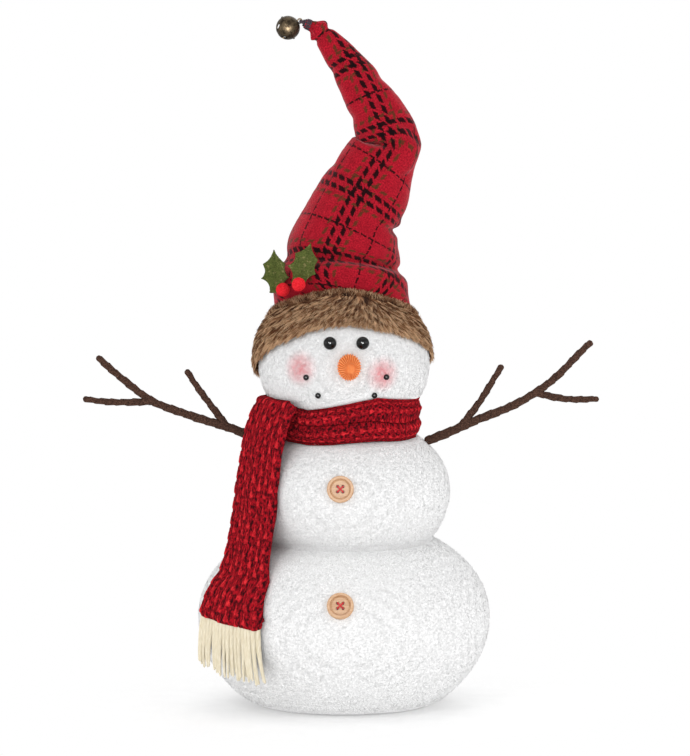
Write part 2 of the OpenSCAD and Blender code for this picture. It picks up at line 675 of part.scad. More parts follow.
// A leaf runs from its stalk toward a second spot, its face turned from the hat's side toward the front
module leaf(stalk, toward, front) {
    from = hat_spot(stalk);
    d = unit(hat_spot(toward) - from);
    lean = acos(d[2]);
    swing = atan2(d[1], d[0]);
    n = unit(mix(hat_out(stalk), [0, -1, 0], front));
    face = atan2(n * [-sin(swing), cos(swing), 0],
        n * [cos(lean) * cos(swing), cos(lean) * sin(swing), -sin(lean)]);
    translate(from) rotate([0, lean, swing]) rotate(face) rotate([0, -90, 0])
        linear_extrude(felt_t) leaf_outline();
}
front_stalk = [0.03, -35, 4.6];
side_stalk = [-0.02, -59, 4.6];
berry_spots = [[-0.01, -49, 5.6], [0.005, -31.5, 8.8]];
module holly_leaf_front() { color(felt_green) leaf(front_stalk, [0.27, -31, 7.6], 0.5); }
module holly_leaf_side() { color(felt_green) leaf(side_stalk, [0.28, -58, 15], 0.55); }
module holly_berries() { color("red") for (p = berry_spots) translate(hat_spot(p)) sphere(berry_d / 2); }

// Thread wound round the gathered tip, and the tie that the bell hangs on
bind_sides = 6;
bind_rings = 24;
bind_r = gather_r + bind_d / 2 + wire_gap;
bind_side = side_axis(tip_dir);
bind_up = cross(bind_side, tip_dir);
function bind_point(n) = tip_base + tip_dir * (bind_gap + bind_d / 2 + bind_pitch * n)
    + bind_r * (cos(360 * n) * bind_up + sin(360 * n) * bind_side);
function bind_run(n) = unit(tip_dir * bind_pitch
    + 2 * PI * bind_r * (cos(360 * n) * bind_side - sin(360 * n) * bind_up));
function bind_ring(n) = let (t = bind_run(n), s = cross(tip_dir, t), w = unit(s), h = cross(t, w))
    [for (i = [0:bind_sides - 1]) let (a = 360 * i / bind_sides)
        bind_point(n) + bind_d / 2 * (cos(a) * w + sin(a) * h)];
echo(binding_gap = bind_pitch - bind_d);
module tip_binding() {
    color(thread_dark) loft([for (k = [0:bind_turns * bind_rings]) bind_ring(k / bind_rings)]);
}
eye_wire = 1.1;
eye_loop = 1.65;
tie_d = 1;
tie_l = 3.8;
eye_sink = 0.45;
hang = bell_d / 2 + eye_loop - eye_sink;
bell_pivot = tip_end + tip_dir * tie_l;
bell_dir = [-cos(bell_dip), 0, -sin(bell_dip)];
bell_c = bell_pivot + bell_dir * hang;
// A sewn loop of thread stands on the end of the tip and passes through the bell's eye
module bell_tie() {
    loop_r = (tie_l - seat_gap - tie_d / 2) / 2;
    color(thread_dark) translate(bell_pivot - tip_dir * loop_r) rotate([0, atan2(tip_dir[2], -tip_dir[0]), 0])
        rotate_extrude() translate([loop_r, 0]) circle(d = tie_d);
}
module bell_place() {
    translate(bell_c) rotate([0, 90 - bell_dip, 0]) children();
}
crimp = 0.6;
// Half of the bell above its seam, with the rim of the crimp
module bell_half() {
    r = bell_d / 2;
    rotate_extrude() {
        intersection() {
            difference() {
                circle(r);
                circle(r - bell_t);
            }
            square(r);
        }
        translate([r - bell_t / 2, 0]) square([bell_t / 2 + crimp, crimp]);
    }
}
module bell_top() {
    color(bell_bronze) bell_place() {
        bell_half();
        difference() {
            translate([0, 0, hang]) rotate([90, 0, 0]) rotate_extrude()
                translate([eye_loop, 0]) circle(d = eye_wire);
            sphere(bell_d / 2 - bell_t / 2);
        }
    }
}
module bell_bottom() {
    slot_l = 0.72 * bell_d;
    color(bell_bronze) bell_place() difference() {
        mirror([0, 0, 1]) bell_half();
        for (turn = [0, 90]) rotate(turn + 45) {
            translate([-slot_l / 2, -slot_w / 2, -bell_d]) cube([slot_l, slot_w, bell_d - crimp * 2]);
            for (side = [-1, 1]) translate([side * slot_l / 2, 0, -bell_d])
                cylinder(h = bell_d - crimp * 2, d = slot_hole_d);
        }
    }
}
pea_travel = bell_d / 2 - bell_t - pea_d / 2 - seat_gap;
module bell_pea() {
    color(wire_grey) bell_place() translate([0, 0, -pea_travel]) sphere(pea_d / 2);
}

// Twig arms: a point is [out from the shoulder, up from it]
// inner fork, outer fork, upper tip, lower tip, inner tip
left_twigs = [[23, 10], [80, 30], [122, 64], [132.5, 32], [55, 54]];
right_twigs = [[24, 10.5], [80, 36], [122.5, 75.5], [128, 31.5], [55.5, 57.5]];
shoulder_out = 2.2;
shoulder_back = 3;
// A wrap wider than this pushes the shoulders down
free_wrap_r = 59;
shoulder_z = upper_mid_z + shoulder_rise - max(0, wrap_r - free_wrap_r);
shoulder_lean = ball_lean(UPPER, shoulder_z);
shoulder_r = sqrt(pow(ball_r(UPPER, shoulder_z), 2) - pow(shoulder_back, 2));
function shoulder(side) = [side * (shoulder_r + shoulder_out * cos(shoulder_lean)), shoulder_back,
    shoulder_z + shoulder_out * sin(shoulder_lean)];
function arm_point(side, p) = shoulder(side) + [side * p[0], 0, p[1]];
function twigs(side) = side < 0 ? left_twigs : right_twigs;
arm_sides = 10;
// Smooth run through a list of points, with this many steps to each
function spline(p, steps) = concat([for (i = [0:len(p) - 2], k = [0:steps - 1]) let (t = k / steps,
    a = p[max(0, i - 1)], b = p[i], c = p[i + 1], d = p[min(len(p) - 1, i + 2)])
    0.5 * (2 * b + (c - a) * t + (2 * a - 5 * b + 4 * c - d) * t * t + (3 * b - a - 3 * c + d) * t * t * t)],
    [p[len(p) - 1]]);
function run_dir(p, i) = unit(p[min(len(p) - 1, i + 1)] - p[max(0, i - 1)]);
stem_steps = 4;
function stem_path(side) = spline([shoulder(side), for (i = [0:2]) arm_point(side, twigs(side)[i])],
    stem_steps);
core_r = core_d / 2;
core_hole = core_r + wire_gap;
// A wrapped stem: a round shoulder, a taper and a round tip, with the wire's hole down the middle
function stem_r(u) = mix(stem_d, stem_tip_d, u) / 2;
root_angles = [24, 45, 68];
root_end = stem_r(0) * cos(root_angles[0]);
module stem(side) {
    p = stem_path(side);
    n = len(p);
    last = run_dir(p, n - 1);
    first = run_dir(p, 0);
    color(twig_brown) loft(concat(
        [for (a = root_angles) ring(p[0] - first * stem_r(0) * cos(a), first, stem_r(0) * sin(a), arm_sides)],
        [for (i = [0:n - 1]) ring(p[i], run_dir(p, i), stem_r(i / (n - 1)), arm_sides)],
        [ring(p[n - 1] + last * 1.4, last, stem_r(1) * 0.72, arm_sides)],
        [ring(p[n - 1] + last * 1.4, last, core_hole, arm_sides)],
        [for (i = [n - 1:-1:0]) ring(p[i], run_dir(p, i), core_hole, arm_sides)],
        [ring(p[0] - first * root_end, first, core_hole, arm_sides)]), closed = true);
}
// Distance along a twig at which a line of its surface leaves the stem
function leave(off, d, axis, r) = let (o = off - (off * axis) * axis, v = d - (d * axis) * axis,
    a = v * v, b = o * v, c = o * o - r * r, q = b * b - a * c) q < 0 ? 0 : (-b + sqrt(q)) / a;
function twig_start(fork, d, axis, r, stem_at) = [for (p = ring([0, 0, 0], d, r, arm_sides))
    fork + p + d * (leave(p, d, axis, stem_at + seat_gap) + wire_gap)];
function arm_points(side) = [shoulder(side), for (q = twigs(side)) arm_point(side, q)];
function fork_axis(p, i) = unit(p[i + 1] - p[i - 1]);
twig_bend = 2;
twig_stops = [0.35, 0.6, 0.82];
function twig_mid(fork, tip, u) = mix(fork, tip, u) - [0, 0, twig_bend * sin(180 * u)];
// A twig is coped to the stem at its fork; forks are points 1 and 2 of the stem's three spans
module twig(side, fork_i, tip_i) {
    p = arm_points(side);
    fork = p[fork_i];
    tip = p[tip_i];
    d = unit(tip - fork);
    r = twig_d / 2;
    tip_r = 0.8 * r;
    round_l = 1.4;
    axis = fork_axis(p, fork_i);
    stem_at = stem_r(fork_i / 3);
    color(twig_brown) loft(concat(
        [twig_start(fork, d, axis, core_hole, stem_at)],
        [twig_start(fork, d, axis, r, stem_at)],
        [for (u = twig_stops) ring(twig_mid(fork, tip, u), d, mix(r, tip_r, u), arm_sides)],
        [ring(tip - d * round_l, d, tip_r, arm_sides)],
        [ring(tip, d, 0.7 * tip_r, arm_sides)],
        [ring(tip, d, core_hole, arm_sides)],
        [for (u = flip(twig_stops)) ring(twig_mid(fork, tip, u), d, core_hole, arm_sides)]), closed = true);
}
module twig_wire(side, fork_i, tip_i) {
    p = arm_points(side);
    fork = p[fork_i];
    tip = p[tip_i];
    d = unit(tip - fork);
    start = twig_start(fork, d, fork_axis(p, fork_i), core_r, stem_r(fork_i / 3));
    loft(concat([start],
        [for (u = twig_stops) ring(twig_mid(fork, tip, u), d, core_r, arm_sides)],
        [ring(tip - d * seat_gap, d, core_r, arm_sides)]));
}
module stem_wire(side) {
    p = stem_path(side);
    n = len(p);
    loft(concat([ring(p[0] - run_dir(p, 0) * (root_end - seat_gap), run_dir(p, 0), core_r, arm_sides)],
        [for (i = [0:n - 1]) ring(p[i], run_dir(p, i), core_r, arm_sides)],
        [ring(p[n - 1] + run_dir(p, n - 1), run_dir(p, n - 1), core_r, arm_sides)]));
}
module arm_wires(side) {
    color(wire_grey) {
        stem_wire(side);
        twig_wire(side, 1, 5);
        twig_wire(side, 2, 4);
    }
}
module left_arm_stem() { stem(-1); }
module left_arm_inner_twig() { twig(-1, 1, 5); }
module left_arm_outer_twig() { twig(-1, 2, 4); }
module left_arm_wires() { arm_wires(-1); }
module right_arm_stem() { stem(1); }
module right_arm_inner_twig() { twig(1, 1, 5); }
module right_arm_outer_twig() { twig(1, 2, 4); }
module right_arm_wires() { arm_wires(1); }
shoulder_reach = shoulder(1)[0] - stem_d / 2 - 2 * seat_gap;
module shoulder_bar(length, r) {
    translate([-length, shoulder_back, shoulder(1)[2]]) rotate([0, 90, 0]) cylinder(h = 2 * length, r = r);
}
module shoulder_wire() { color(wire_grey) shoulder_bar(shoulder_reach, core_r); }
module shoulder_hole() { shoulder_bar(shoulder_reach + stem_d, core_r + wire_gap / 2); }

base_panel();
base_board();
weight_bag();
lower_skin();
lower_stuffing();
upper_skin();
upper_stuffing();
head_skin();
head_stuffing();
shoulder_wire();
lower_button();
lower_button_thread();
upper_button();
upper_button_thread();
left_eye();
right_eye();
nose();
mouth_beads();
scarf_wrap();
scarf_tail();
scarf_fringe();
fur_band();
hat_crown();
hat_wire();
hat_tip();
hat_tip_wire();
holly_leaf_front();
holly_leaf_side();
holly_berries();
tip_binding();
bell_tie();
bell_top();
bell_bottom();
bell_pea();
left_arm_stem();
left_arm_inner_twig();
left_arm_outer_twig();
left_arm_wires();
right_arm_stem();
right_arm_inner_twig();
right_arm_outer_twig();
right_arm_wires();
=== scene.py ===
# Stuffed snowman with a bent plaid hat, a knit scarf and twig arms, dressed round its CAD frame.
# Lengths in the functions are in millimetres, as in the part's source; meshes are in metres.
import math
import bpy
import numpy as np
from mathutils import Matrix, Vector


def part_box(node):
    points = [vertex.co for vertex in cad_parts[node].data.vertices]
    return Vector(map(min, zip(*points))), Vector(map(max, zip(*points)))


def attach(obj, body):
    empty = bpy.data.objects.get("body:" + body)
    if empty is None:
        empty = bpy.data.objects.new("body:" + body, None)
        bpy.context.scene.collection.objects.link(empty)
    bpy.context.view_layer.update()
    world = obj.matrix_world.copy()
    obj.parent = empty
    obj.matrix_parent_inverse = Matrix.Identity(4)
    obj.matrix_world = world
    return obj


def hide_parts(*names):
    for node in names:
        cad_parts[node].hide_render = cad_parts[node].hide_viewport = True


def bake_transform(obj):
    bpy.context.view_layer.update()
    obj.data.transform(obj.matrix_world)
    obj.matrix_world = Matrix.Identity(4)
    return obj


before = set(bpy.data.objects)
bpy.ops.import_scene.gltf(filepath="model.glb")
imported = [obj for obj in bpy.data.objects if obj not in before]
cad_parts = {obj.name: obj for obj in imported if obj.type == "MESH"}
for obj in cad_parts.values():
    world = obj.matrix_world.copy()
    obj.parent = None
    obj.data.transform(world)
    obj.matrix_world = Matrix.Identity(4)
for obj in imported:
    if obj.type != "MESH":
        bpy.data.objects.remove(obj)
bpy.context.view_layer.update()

MM = 0.001
DEG = math.pi / 180

# Balls: bottom height, bottom radius, girth height, girth radius, top height, top radius
LOWER = (0, 68, 66, 109.5, 125, 65)
UPPER = (125, 65, 161, 79.5, 211, 36)
HEAD = (211, 36, 257, 64, 317, 0)
# Gaps left round a seated piece and under draped cloth
SEAT_GAP = 0.3
DRAPE_GAP = 0.7


# Mesh work

def only(piece):
    bpy.ops.object.select_all(action="DESELECT")
    piece.select_set(True)
    bpy.context.view_layer.objects.active = piece


def points(piece):
    co = np.empty(len(piece.data.vertices) * 3)
    piece.data.vertices.foreach_get("co", co)
    return co.reshape(-1, 3)


def move_points(piece, co):
    piece.data.vertices.foreach_set("co", np.ascontiguousarray(co, dtype=np.float32).ravel())
    piece.data.update()


def outward(piece):
    n = np.empty(len(piece.data.vertices) * 3, dtype=np.float32)
    piece.data.vertex_normals.foreach_get("vector", n)
    return n.reshape(-1, 3).astype(float)


def edit(piece, *steps):
    """Runs edit-mode steps, each an operator with its settings, on the whole piece"""
    only(piece)
    bpy.ops.object.mode_set(mode="EDIT")
    bpy.ops.mesh.select_all(action="SELECT")
    for operator, settings in steps:
        operator(**settings)
    bpy.ops.object.mode_set(mode="OBJECT")


# Distances in metres within which points are welded: in a CAD mesh, and along the joined edge of a laid grid
NODE_GAP = 1e-5
GRID_GAP = 2e-6


def weld(piece, reach=GRID_GAP):
    edit(piece, (bpy.ops.mesh.remove_doubles, {"threshold": reach}),
         (bpy.ops.mesh.normals_make_consistent, {"inside": False}))


def shape(piece, kind, **settings):
    """Adds a modifier and applies it"""
    only(piece)
    step = piece.modifiers.new(kind.lower(), kind)
    for key, value in settings.items():
        setattr(step, key, value)
    bpy.ops.object.modifier_apply(modifier=step.name)


def put(name, data):
    made = bpy.data.objects.new(name, data)
    bpy.context.scene.collection.objects.link(made)
    return made


def copy_of(name, node):
    """A new piece from a welded copy of a CAD node"""
    piece = put(name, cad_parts[node].data.copy())
    piece.data.name = name
    weld(piece, NODE_GAP)
    piece.data.materials.clear()
    return piece


def laid(name, across, along, place, closed=False):
    """A grid laid on a surface: place(u, v) gives its points in millimetres, u and v running from 0 to 1"""
    bpy.ops.object.select_all(action="DESELECT")
    bpy.ops.mesh.primitive_grid_add(x_subdivisions=across, y_subdivisions=along, size=2)
    piece = bpy.context.object
    piece.name = piece.data.name = name
    co = points(piece)
    move_points(piece, place((co[:, 0] + 1) / 2, (co[:, 1] + 1) / 2) * MM)
    if closed:
        weld(piece)
    only(piece)
    bpy.ops.object.shade_smooth()
    return piece


def lay_pattern(piece, flat):
    """Turns the grid's own map into flat cloth lengths: flat(u, v) gives two lengths in millimetres"""
    layer = piece.data.uv_layers[0]
    uv = np.empty(len(layer.data) * 2, dtype=np.float32)
    layer.data.foreach_get("uv", uv)
    uv = uv.reshape(-1, 2).astype(float)
    uv = np.stack(flat(uv[:, 0], uv[:, 1]), 1) * MM
    layer.data.foreach_set("uv", np.ascontiguousarray(uv, dtype=np.float32).ravel())
    layer.name = "cloth"


def joined(name, pieces):
    only(pieces[0])
    for piece in pieces:
        piece.select_set(True)
    bpy.ops.object.join()
    pieces[0].name = pieces[0].data.name = name
    return pieces[0]


def grid_shares(across, along):
    """Shares u and v at the points of a laid grid"""
    u, v = np.meshgrid(np.linspace(0, 1, across + 1), np.linspace(0, 1, along + 1))
    return u.ravel(), v.ravel()


# The filling: pressure, frames it works for, and the furthest it moves a point
FILL_PRESSURE = 3
FILL_FRAMES = 20
FILL_REACH = 2.5


def stuff(piece, sewn):
    """Fills a piece by cloth pressure. sewn is each point's hold, from 0 to 1"""
    start = points(piece)
    seam = piece.vertex_groups.new(name="sewn")
    for i in np.nonzero(sewn > 0.01)[0]:
        seam.add([int(i)], float(sewn[i]), "REPLACE")
    only(piece)
    filling = piece.modifiers.new("filling", "CLOTH")
    cloth = filling.settings
    cloth.vertex_group_mass = "sewn"
    cloth.use_pressure = True
    cloth.uniform_pressure_force = FILL_PRESSURE
    cloth.effector_weights.gravity = 0
    cloth.quality = 5
    cloth.tension_stiffness = cloth.compression_stiffness = 20
    cloth.bending_stiffness = 0.6
    filling.point_cache.frame_end = FILL_FRAMES
    for f in range(1, FILL_FRAMES + 1):
        bpy.context.scene.frame_set(f)
    bpy.ops.object.modifier_apply(modifier=filling.name)
    bpy.context.scene.frame_set(1)
    piece.vertex_groups.clear()
    moved = points(piece) - start
    far = np.linalg.norm(moved, axis=1, keepdims=True)
    move_points(piece, start + moved * np.minimum(1, FILL_REACH * MM / np.maximum(far, 1e-9)))


def lumps(piece, size, depth):
    """Raises the surface by soft lumps of this size and depth"""
    texture = bpy.data.textures.new(piece.name + "_lumps", "CLOUDS")
    texture.noise_scale = size * MM
    shape(piece, "DISPLACE", texture=texture, texture_coords="LOCAL", strength=depth * MM, mid_level=0.5)


def smooth(t):
    """Eased from 0 to 1 as t does the same"""
    t = np.clip(t, 0, 1)
    return t * t * (3 - 2 * t)


def bump(x):
    """A soft bump of height 1 round 0"""
    return np.exp(-x * x)


def mix(a, b, t):
    return a + (b - a) * t


def unit(v):
    return v / np.linalg.norm(v, axis=-1, keepdims=True)


def vec(*parts):
    return np.stack(np.broadcast_arrays(*[np.asarray(p, dtype=float) for p in parts]), -1)


def run_of(path):
    """Length along a path of points, up to each of them"""
    return np.concatenate([[0], np.cumsum(np.linalg.norm(np.diff(path, axis=0), axis=1))])


def sample(path, far, s):
    """Points of a path at lengths s along it"""
    return np.stack([np.interp(s, far, path[:, k]) for k in range(3)], -1)


def headings(path, far):
    """Ways a path heads at its points"""
    return np.stack([np.gradient(path[:, k], far) for k in range(3)], -1)


def ring(c, r, a, e, f):
    """Points at radius r and angle a round their centres c, in the planes of e and f"""
    return c + r[:, None] * (np.cos(a)[:, None] * e + np.sin(a)[:, None] * f)


def square_to(d):
    """Directions square to d, as near to straight back as they can be"""
    return unit(np.array([0.0, 1, 0]) - d[..., 1:2] * d)


def round_body(r, az, z):
    """A point at this distance from the middle, angle to the right of the front and height"""
    return vec(r * np.sin(az), -r * np.cos(az), z)


# The body's own shape, as in the part's source

def half_at(ball, z):
    """Half the height of the ellipse that a ball follows, below or above its girth"""
    low = (ball[2] - ball[0]) / math.sqrt(1 - (ball[1] / ball[3]) ** 2)
    high = (ball[4] - ball[2]) / math.sqrt(1 - (ball[5] / ball[3]) ** 2)
    return np.where(z < ball[2], low, high)


def ball_r(ball, z):
    """Radius of a ball at a height"""
    return ball[3] * np.sqrt(np.maximum(0, 1 - ((z - ball[2]) / half_at(ball, z)) ** 2))


def ball_point(ball, az, z):
    return round_body(ball_r(ball, z), az, z)


def head_dir(az, el):
    """The way out of the head at an angle to the right of the front and an elevation"""
    return vec(np.cos(el) * np.sin(az), -np.cos(el) * np.cos(az), np.sin(el))


def on_head(u, out):
    """A point out from the middle of the head in direction u, at this distance off its surface"""
    half = half_at(HEAD, HEAD[2] + u[..., 2])
    reach = 1 / np.sqrt((u[..., 0] ** 2 + u[..., 1] ** 2) / HEAD[3] ** 2 + (u[..., 2] / half) ** 2)
    return np.array([0, 0, HEAD[2]]) + u * np.expand_dims(reach + out, -1)


def edge_lift(edge, az):
    """Elevation in degrees of an edge given at the front, the sides and the back"""
    return ((edge[0] + 2 * edge[1] + edge[2]) / 4 + (edge[0] - edge[2]) / 2 * np.cos(az)
            + (edge[0] + edge[2] - 2 * edge[1]) / 4 * np.cos(2 * az))


# Finishes

def colour(code):
    """Linear colour of a written one"""
    parts = [int(code[i:i + 2], 16) / 255 for i in (1, 3, 5)]
    return tuple(c / 12.92 if c <= 0.04045 else ((c + 0.055) / 1.055) ** 2.4 for c in parts) + (1,)


def add_node(tree, kind, inputs, out=0, **settings):
    """Adds a shader node, links or sets its inputs, and gives one of its outputs"""
    made = tree.nodes.new("ShaderNode" + kind)
    for key, value in settings.items():
        setattr(made, key, value)
    for key, value in inputs.items():
        if isinstance(value, bpy.types.NodeSocket):
            tree.links.new(value, made.inputs[key])
        else:
            made.inputs[key].default_value = value
    return made.outputs[out]


class Finish:
    """A procedural finish: a material and short ways to add nodes to it"""

    def __init__(self, name, **fixed):
        self.material = bpy.data.materials.new(name)
        self.material.use_nodes = True
        self.tree = self.material.node_tree
        self.shader = self.tree.nodes["Principled BSDF"]
        for socket, value in fixed.items():
            self.shader.inputs[socket.replace("_", " ")].default_value = value

    def node(self, kind, inputs, out=0, **settings):
        return add_node(self.tree, kind, inputs, out, **settings)

    def places(self):
        return self.node("TexCoord", {}, "Object")

    def cloth(self):
        return self.node("UVMap", {}, uv_map="cloth")

    def value(self, name):
        return self.node("Attribute", {}, "Fac", attribute_name=name)

    def math(self, operation, *values):
        return self.node("Math", dict(enumerate(values)), operation=operation)

    def band(self, value, low, high, to_low=0.0, to_high=1.0):
        """Value eased from low to high"""
        return self.node("MapRange", {0: value, 1: low, 2: high, 3: to_low, 4: to_high},
                         interpolation_type="SMOOTHSTEP")

    def noise(self, where, scale, detail=2.0, roughness=0.5):
        return self.node("TexNoise", {"Vector": where, "Scale": scale, "Detail": detail,
                                      "Roughness": roughness})

    def cells(self, where, scale):
        return self.node("TexVoronoi", {"Vector": where, "Scale": scale}, "Distance")

    def stretch(self, where, scale, turn=(0, 0, 0)):
        return self.node("Mapping", {"Vector": where, "Scale": scale, "Rotation": turn})

    def blend(self, share, first, second):
        return self.node("Mix", {0: share, 6: first, 7: second}, 2, data_type="RGBA")

    def centred(self, value):
        """Place within a repeat of 1, from -0.5 to 0.5"""
        return self.math("SUBTRACT", self.math("FRACT", value), 0.5)

    def tones(self, value, low, high, dark, light):
        """One colour where the value is low, eased to another where it is high"""
        return self.blend(self.band(value, low, high), colour(dark), colour(light))

    def over(self, tone, share, code):
        """A share of a colour laid over a tone"""
        return self.blend(share, tone, colour(code))

    def shade(self, socket, value):
        self.tree.links.new(value, self.shader.inputs[socket])

    def paint(self, tone):
        self.shade("Base Color", tone)

    def relief(self, height, depth, strength=1.0):
        """Bump of this depth in millimetres"""
        self.shade("Normal", self.node("Bump", {"Height": height, "Distance": depth * MM,
                                                "Strength": strength}))


# Blushes on the cheeks, and their radius
BLUSHES = ((-33, -54.8, 259.8), (29.3, -57, 255.5))
BLUSH_R = 16.5


def fleece(name, blushes=()):
    made = Finish(name, Roughness=0.95, Specular_IOR_Level=0.0)
    where = made.places()
    curl = made.noise(where, 760, 3, 0.6)
    nub = made.cells(where, 620)
    tone = made.tones(curl, 0.3, 0.7, "#dedede", "#f4f4f4")
    # The curls' tips are painted lightest, and their roots and the ball under them darker: painted shade
    # deep in the pile, with a random share for each curl
    tone = made.over(tone, made.value("pile"), "#f7f7f7")
    for centre in blushes:
        far = made.node("VectorMath", {0: where, 1: tuple(c * MM for c in centre)}, 1, operation="DISTANCE")
        patchy = made.math("MULTIPLY", made.band(made.noise(where, 300, 3, 0.6), 0.3, 0.7, 0.6, 1.0),
                           made.band(far, BLUSH_R * MM, 2 * MM, 0.0, 0.78))
        tone = made.over(tone, patchy, "#e2757c")
    made.paint(tone)
    made.relief(made.math("ADD", nub, curl), 0.3, 0.3)
    return made.material


def button_wood():
    made = Finish("button_wood", Roughness=0.55, Specular_IOR_Level=0.15)
    where = made.places()
    grain = made.noise(made.stretch(where, (120, 900, 900)), 1.0, 4, 0.6)
    pores = made.noise(made.stretch(where, (260, 2600, 2600)), 1.0, 2)
    tone = made.tones(grain, 0.3, 0.7, "#b98e6a", "#cfab88")
    tone = made.over(tone, made.band(pores, 0.62, 0.75, 0, 0.5), "#b98a5e")
    made.paint(tone)
    made.shade("Roughness", made.band(grain, 0.2, 0.8, 0.42, 0.6))
    made.relief(pores, 0.08, 0.5)
    return made.material


def sewing_thread(name, dark, light):
    made = Finish(name, Roughness=0.75, Specular_IOR_Level=0.2)
    where = made.places()
    twist = made.noise(made.stretch(where, (1, 1, 2.2)), 1600, 2)
    made.paint(made.tones(twist, 0.35, 0.65, dark, light))
    made.relief(twist, 0.15, 0.7)
    return made.material


def glass_bead(name, roughness):
    made = Finish(name, Specular_IOR_Level=0.22)
    where = made.places()
    dust = made.noise(where, 900, 3)
    made.paint(made.tones(dust, 0.5, 0.8, "#060606", "#151414"))
    made.shade("Roughness", made.band(dust, 0.3, 0.8, roughness, roughness + 0.08))
    return made.material


def carrot_orange():
    made = Finish("carrot_orange", Roughness=0.8, Specular_IOR_Level=0.05)
    where = made.places()
    groove = made.value("groove")
    tone = made.tones(made.noise(where, 500, 3), 0.3, 0.7, "#ec8448", "#f6a468")
    # The grooves between the ribs are painted darker, as painted shade
    tone = made.over(tone, made.band(groove, 0.35, 0.95, 0, 0.85), "#c05a1e")
    # The drooping tip is painted darker, as painted shade
    made.paint(made.over(tone, made.value("tip"), "#d8743c"))
    made.relief(made.noise(where, 1800, 3), 0.15, 0.6)
    return made.material


STITCH_W = 9.0
STITCH_H = 12.8


def knit_red():
    """Marled red and black yarn with rows of raised drop-shaped stitches. The drops carry a painted
    highlight and the ground between them painted shade
    """
    made = Finish("knit_red", Roughness=0.95, Specular_IOR_Level=0.03)
    cloth = made.cloth()
    flat = made.node("SeparateXYZ", {0: cloth})
    across = made.math("DIVIDE", flat, STITCH_W * MM)
    up = made.math("DIVIDE", flat.node.outputs[1], STITCH_H * MM)
    column = made.math("FLOOR", across)
    brick = made.math("MULTIPLY", made.math("MODULO", column, 2.0), 0.5)
    row = made.math("ADD", up, brick)
    x = made.math("ABSOLUTE", made.centred(across))
    y = made.centred(row)
    # A drop is widest below its middle and runs to a point above
    wide = made.band(y, 0.28, -0.16, 0.08, 0.37)
    drop = made.math("MULTIPLY", made.band(made.math("DIVIDE", x, wide), 1.0, 0.4),
                     made.band(y, -0.36, -0.24))
    # Pockets beside each drop, where painted shade darkens the flecks
    pocket_shade = made.math("MULTIPLY", made.band(x, 0.26, 0.44),
                       made.band(made.math("ABSOLUTE", made.math("ADD", y, 0.06)), 0.36, 0.1))
    strand = made.noise(made.stretch(cloth, (1, 0.6, 1)), 520, 3, 0.65)
    fleck = made.noise(made.stretch(cloth, (1, 0.7, 1)), 330, 3, 0.6)
    # The ground between the stitches is painted darker, as painted shade, and the drops brighter, as painted
    # highlight
    ground = made.tones(strand, 0.34, 0.66, "#560812", "#b01220")
    bright = made.tones(strand, 0.35, 0.65, "#ab1120", "#e23238")
    # Every stitch has its own random share of the painted highlight on its drop
    spot = made.node("CombineXYZ", {0: column, 1: made.math("FLOOR", row)})
    share = made.node("TexWhiteNoise", {"Vector": spot}, noise_dimensions="2D")
    lit = made.math("MULTIPLY", drop, made.band(share, 0.1, 0.9, 0.5, 1.1))
    # Black flecks of the marled yarn, with painted shade in the pockets beside the drops, fade where a
    # drop's painted highlight is strongest
    dark = made.math("ADD", made.band(fleck, 0.48, 0.6, 0.0, 0.7),
                     made.math("MULTIPLY", pocket_shade, made.band(fleck, 0.4, 0.6)))
    black = made.math("MULTIPLY", made.math("MINIMUM", dark, 0.92), made.band(lit, 0.0, 1.0, 1.0, 0.35))
    made.paint(made.over(made.blend(lit, ground, bright), black, "#1c050a"))
    made.relief(made.math("ADD", made.math("MULTIPLY", strand, 1.5), drop), 0.8, 0.8)
    return made.material


def cream_yarn():
    made = Finish("fringe_cream", Roughness=0.95, Specular_IOR_Level=0.03)
    where = made.places()
    wisp = made.noise(made.stretch(where, (1, 1, 0.25)), 900, 3)
    tone = made.tones(wisp, 0.3, 0.7, "#dacfb4", "#e6ddc7")
    # The hollows between the plies are painted darker, as painted shade
    made.paint(made.over(tone, made.band(made.value("ply_valley_shade"), 0.2, 1, 0, 0.25), "#cdc0a0"))
    made.relief(wisp, 0.25, 0.6)
    return made.material


def fur_roots():
    made = Finish("fur_roots", Roughness=0.7, Specular_IOR_Level=0.06)
    wave = made.noise(made.stretch(made.places(), (1, 1, 0.35)), 420, 3)
    made.paint(made.tones(wave, 0.3, 0.7, "#3d2a1e", "#6b4c36"))
    made.relief(wave, 0.8, 0.8)
    return made.material


def fur_hairs():
    """From the dark roots of the darkest hairs to the pale tips of the lightest"""
    made = Finish("fur_hairs", Roughness=0.7, Specular_IOR_Level=0.06)
    shown = made.node("ValToRGB", {0: made.value("tone")})
    stops = [(0.0, "#2e1a10"), (0.35, "#72492f"), (0.7, "#b0835f"), (1.0, "#ecc59c")]
    ramp = shown.node.color_ramp.elements
    while len(ramp) < len(stops):
        ramp.new(0.5)
    for stop, (at, code) in zip(ramp, stops):
        stop.position = at
        stop.color = colour(code)
    made.paint(shown)
    return made.material


# Repeat of the plaid, and how softly its lines and their dashes end
PLAID = 56.0
LINE_EDGE = 0.45
DASH_EDGE = 0.07
# Each line's distance from the middle of the repeat, width, dash, share of the dash that shows, and slant
OLIVE_LINES = ((9.8, 2.6, 8.5, 0.6, -0.7),)
BLACK_LINES = ((3.7, 3.6, 8.5, 0.74, 0.75), (PLAID / 2, 1.5, 6.5, 0.76, 0.0))


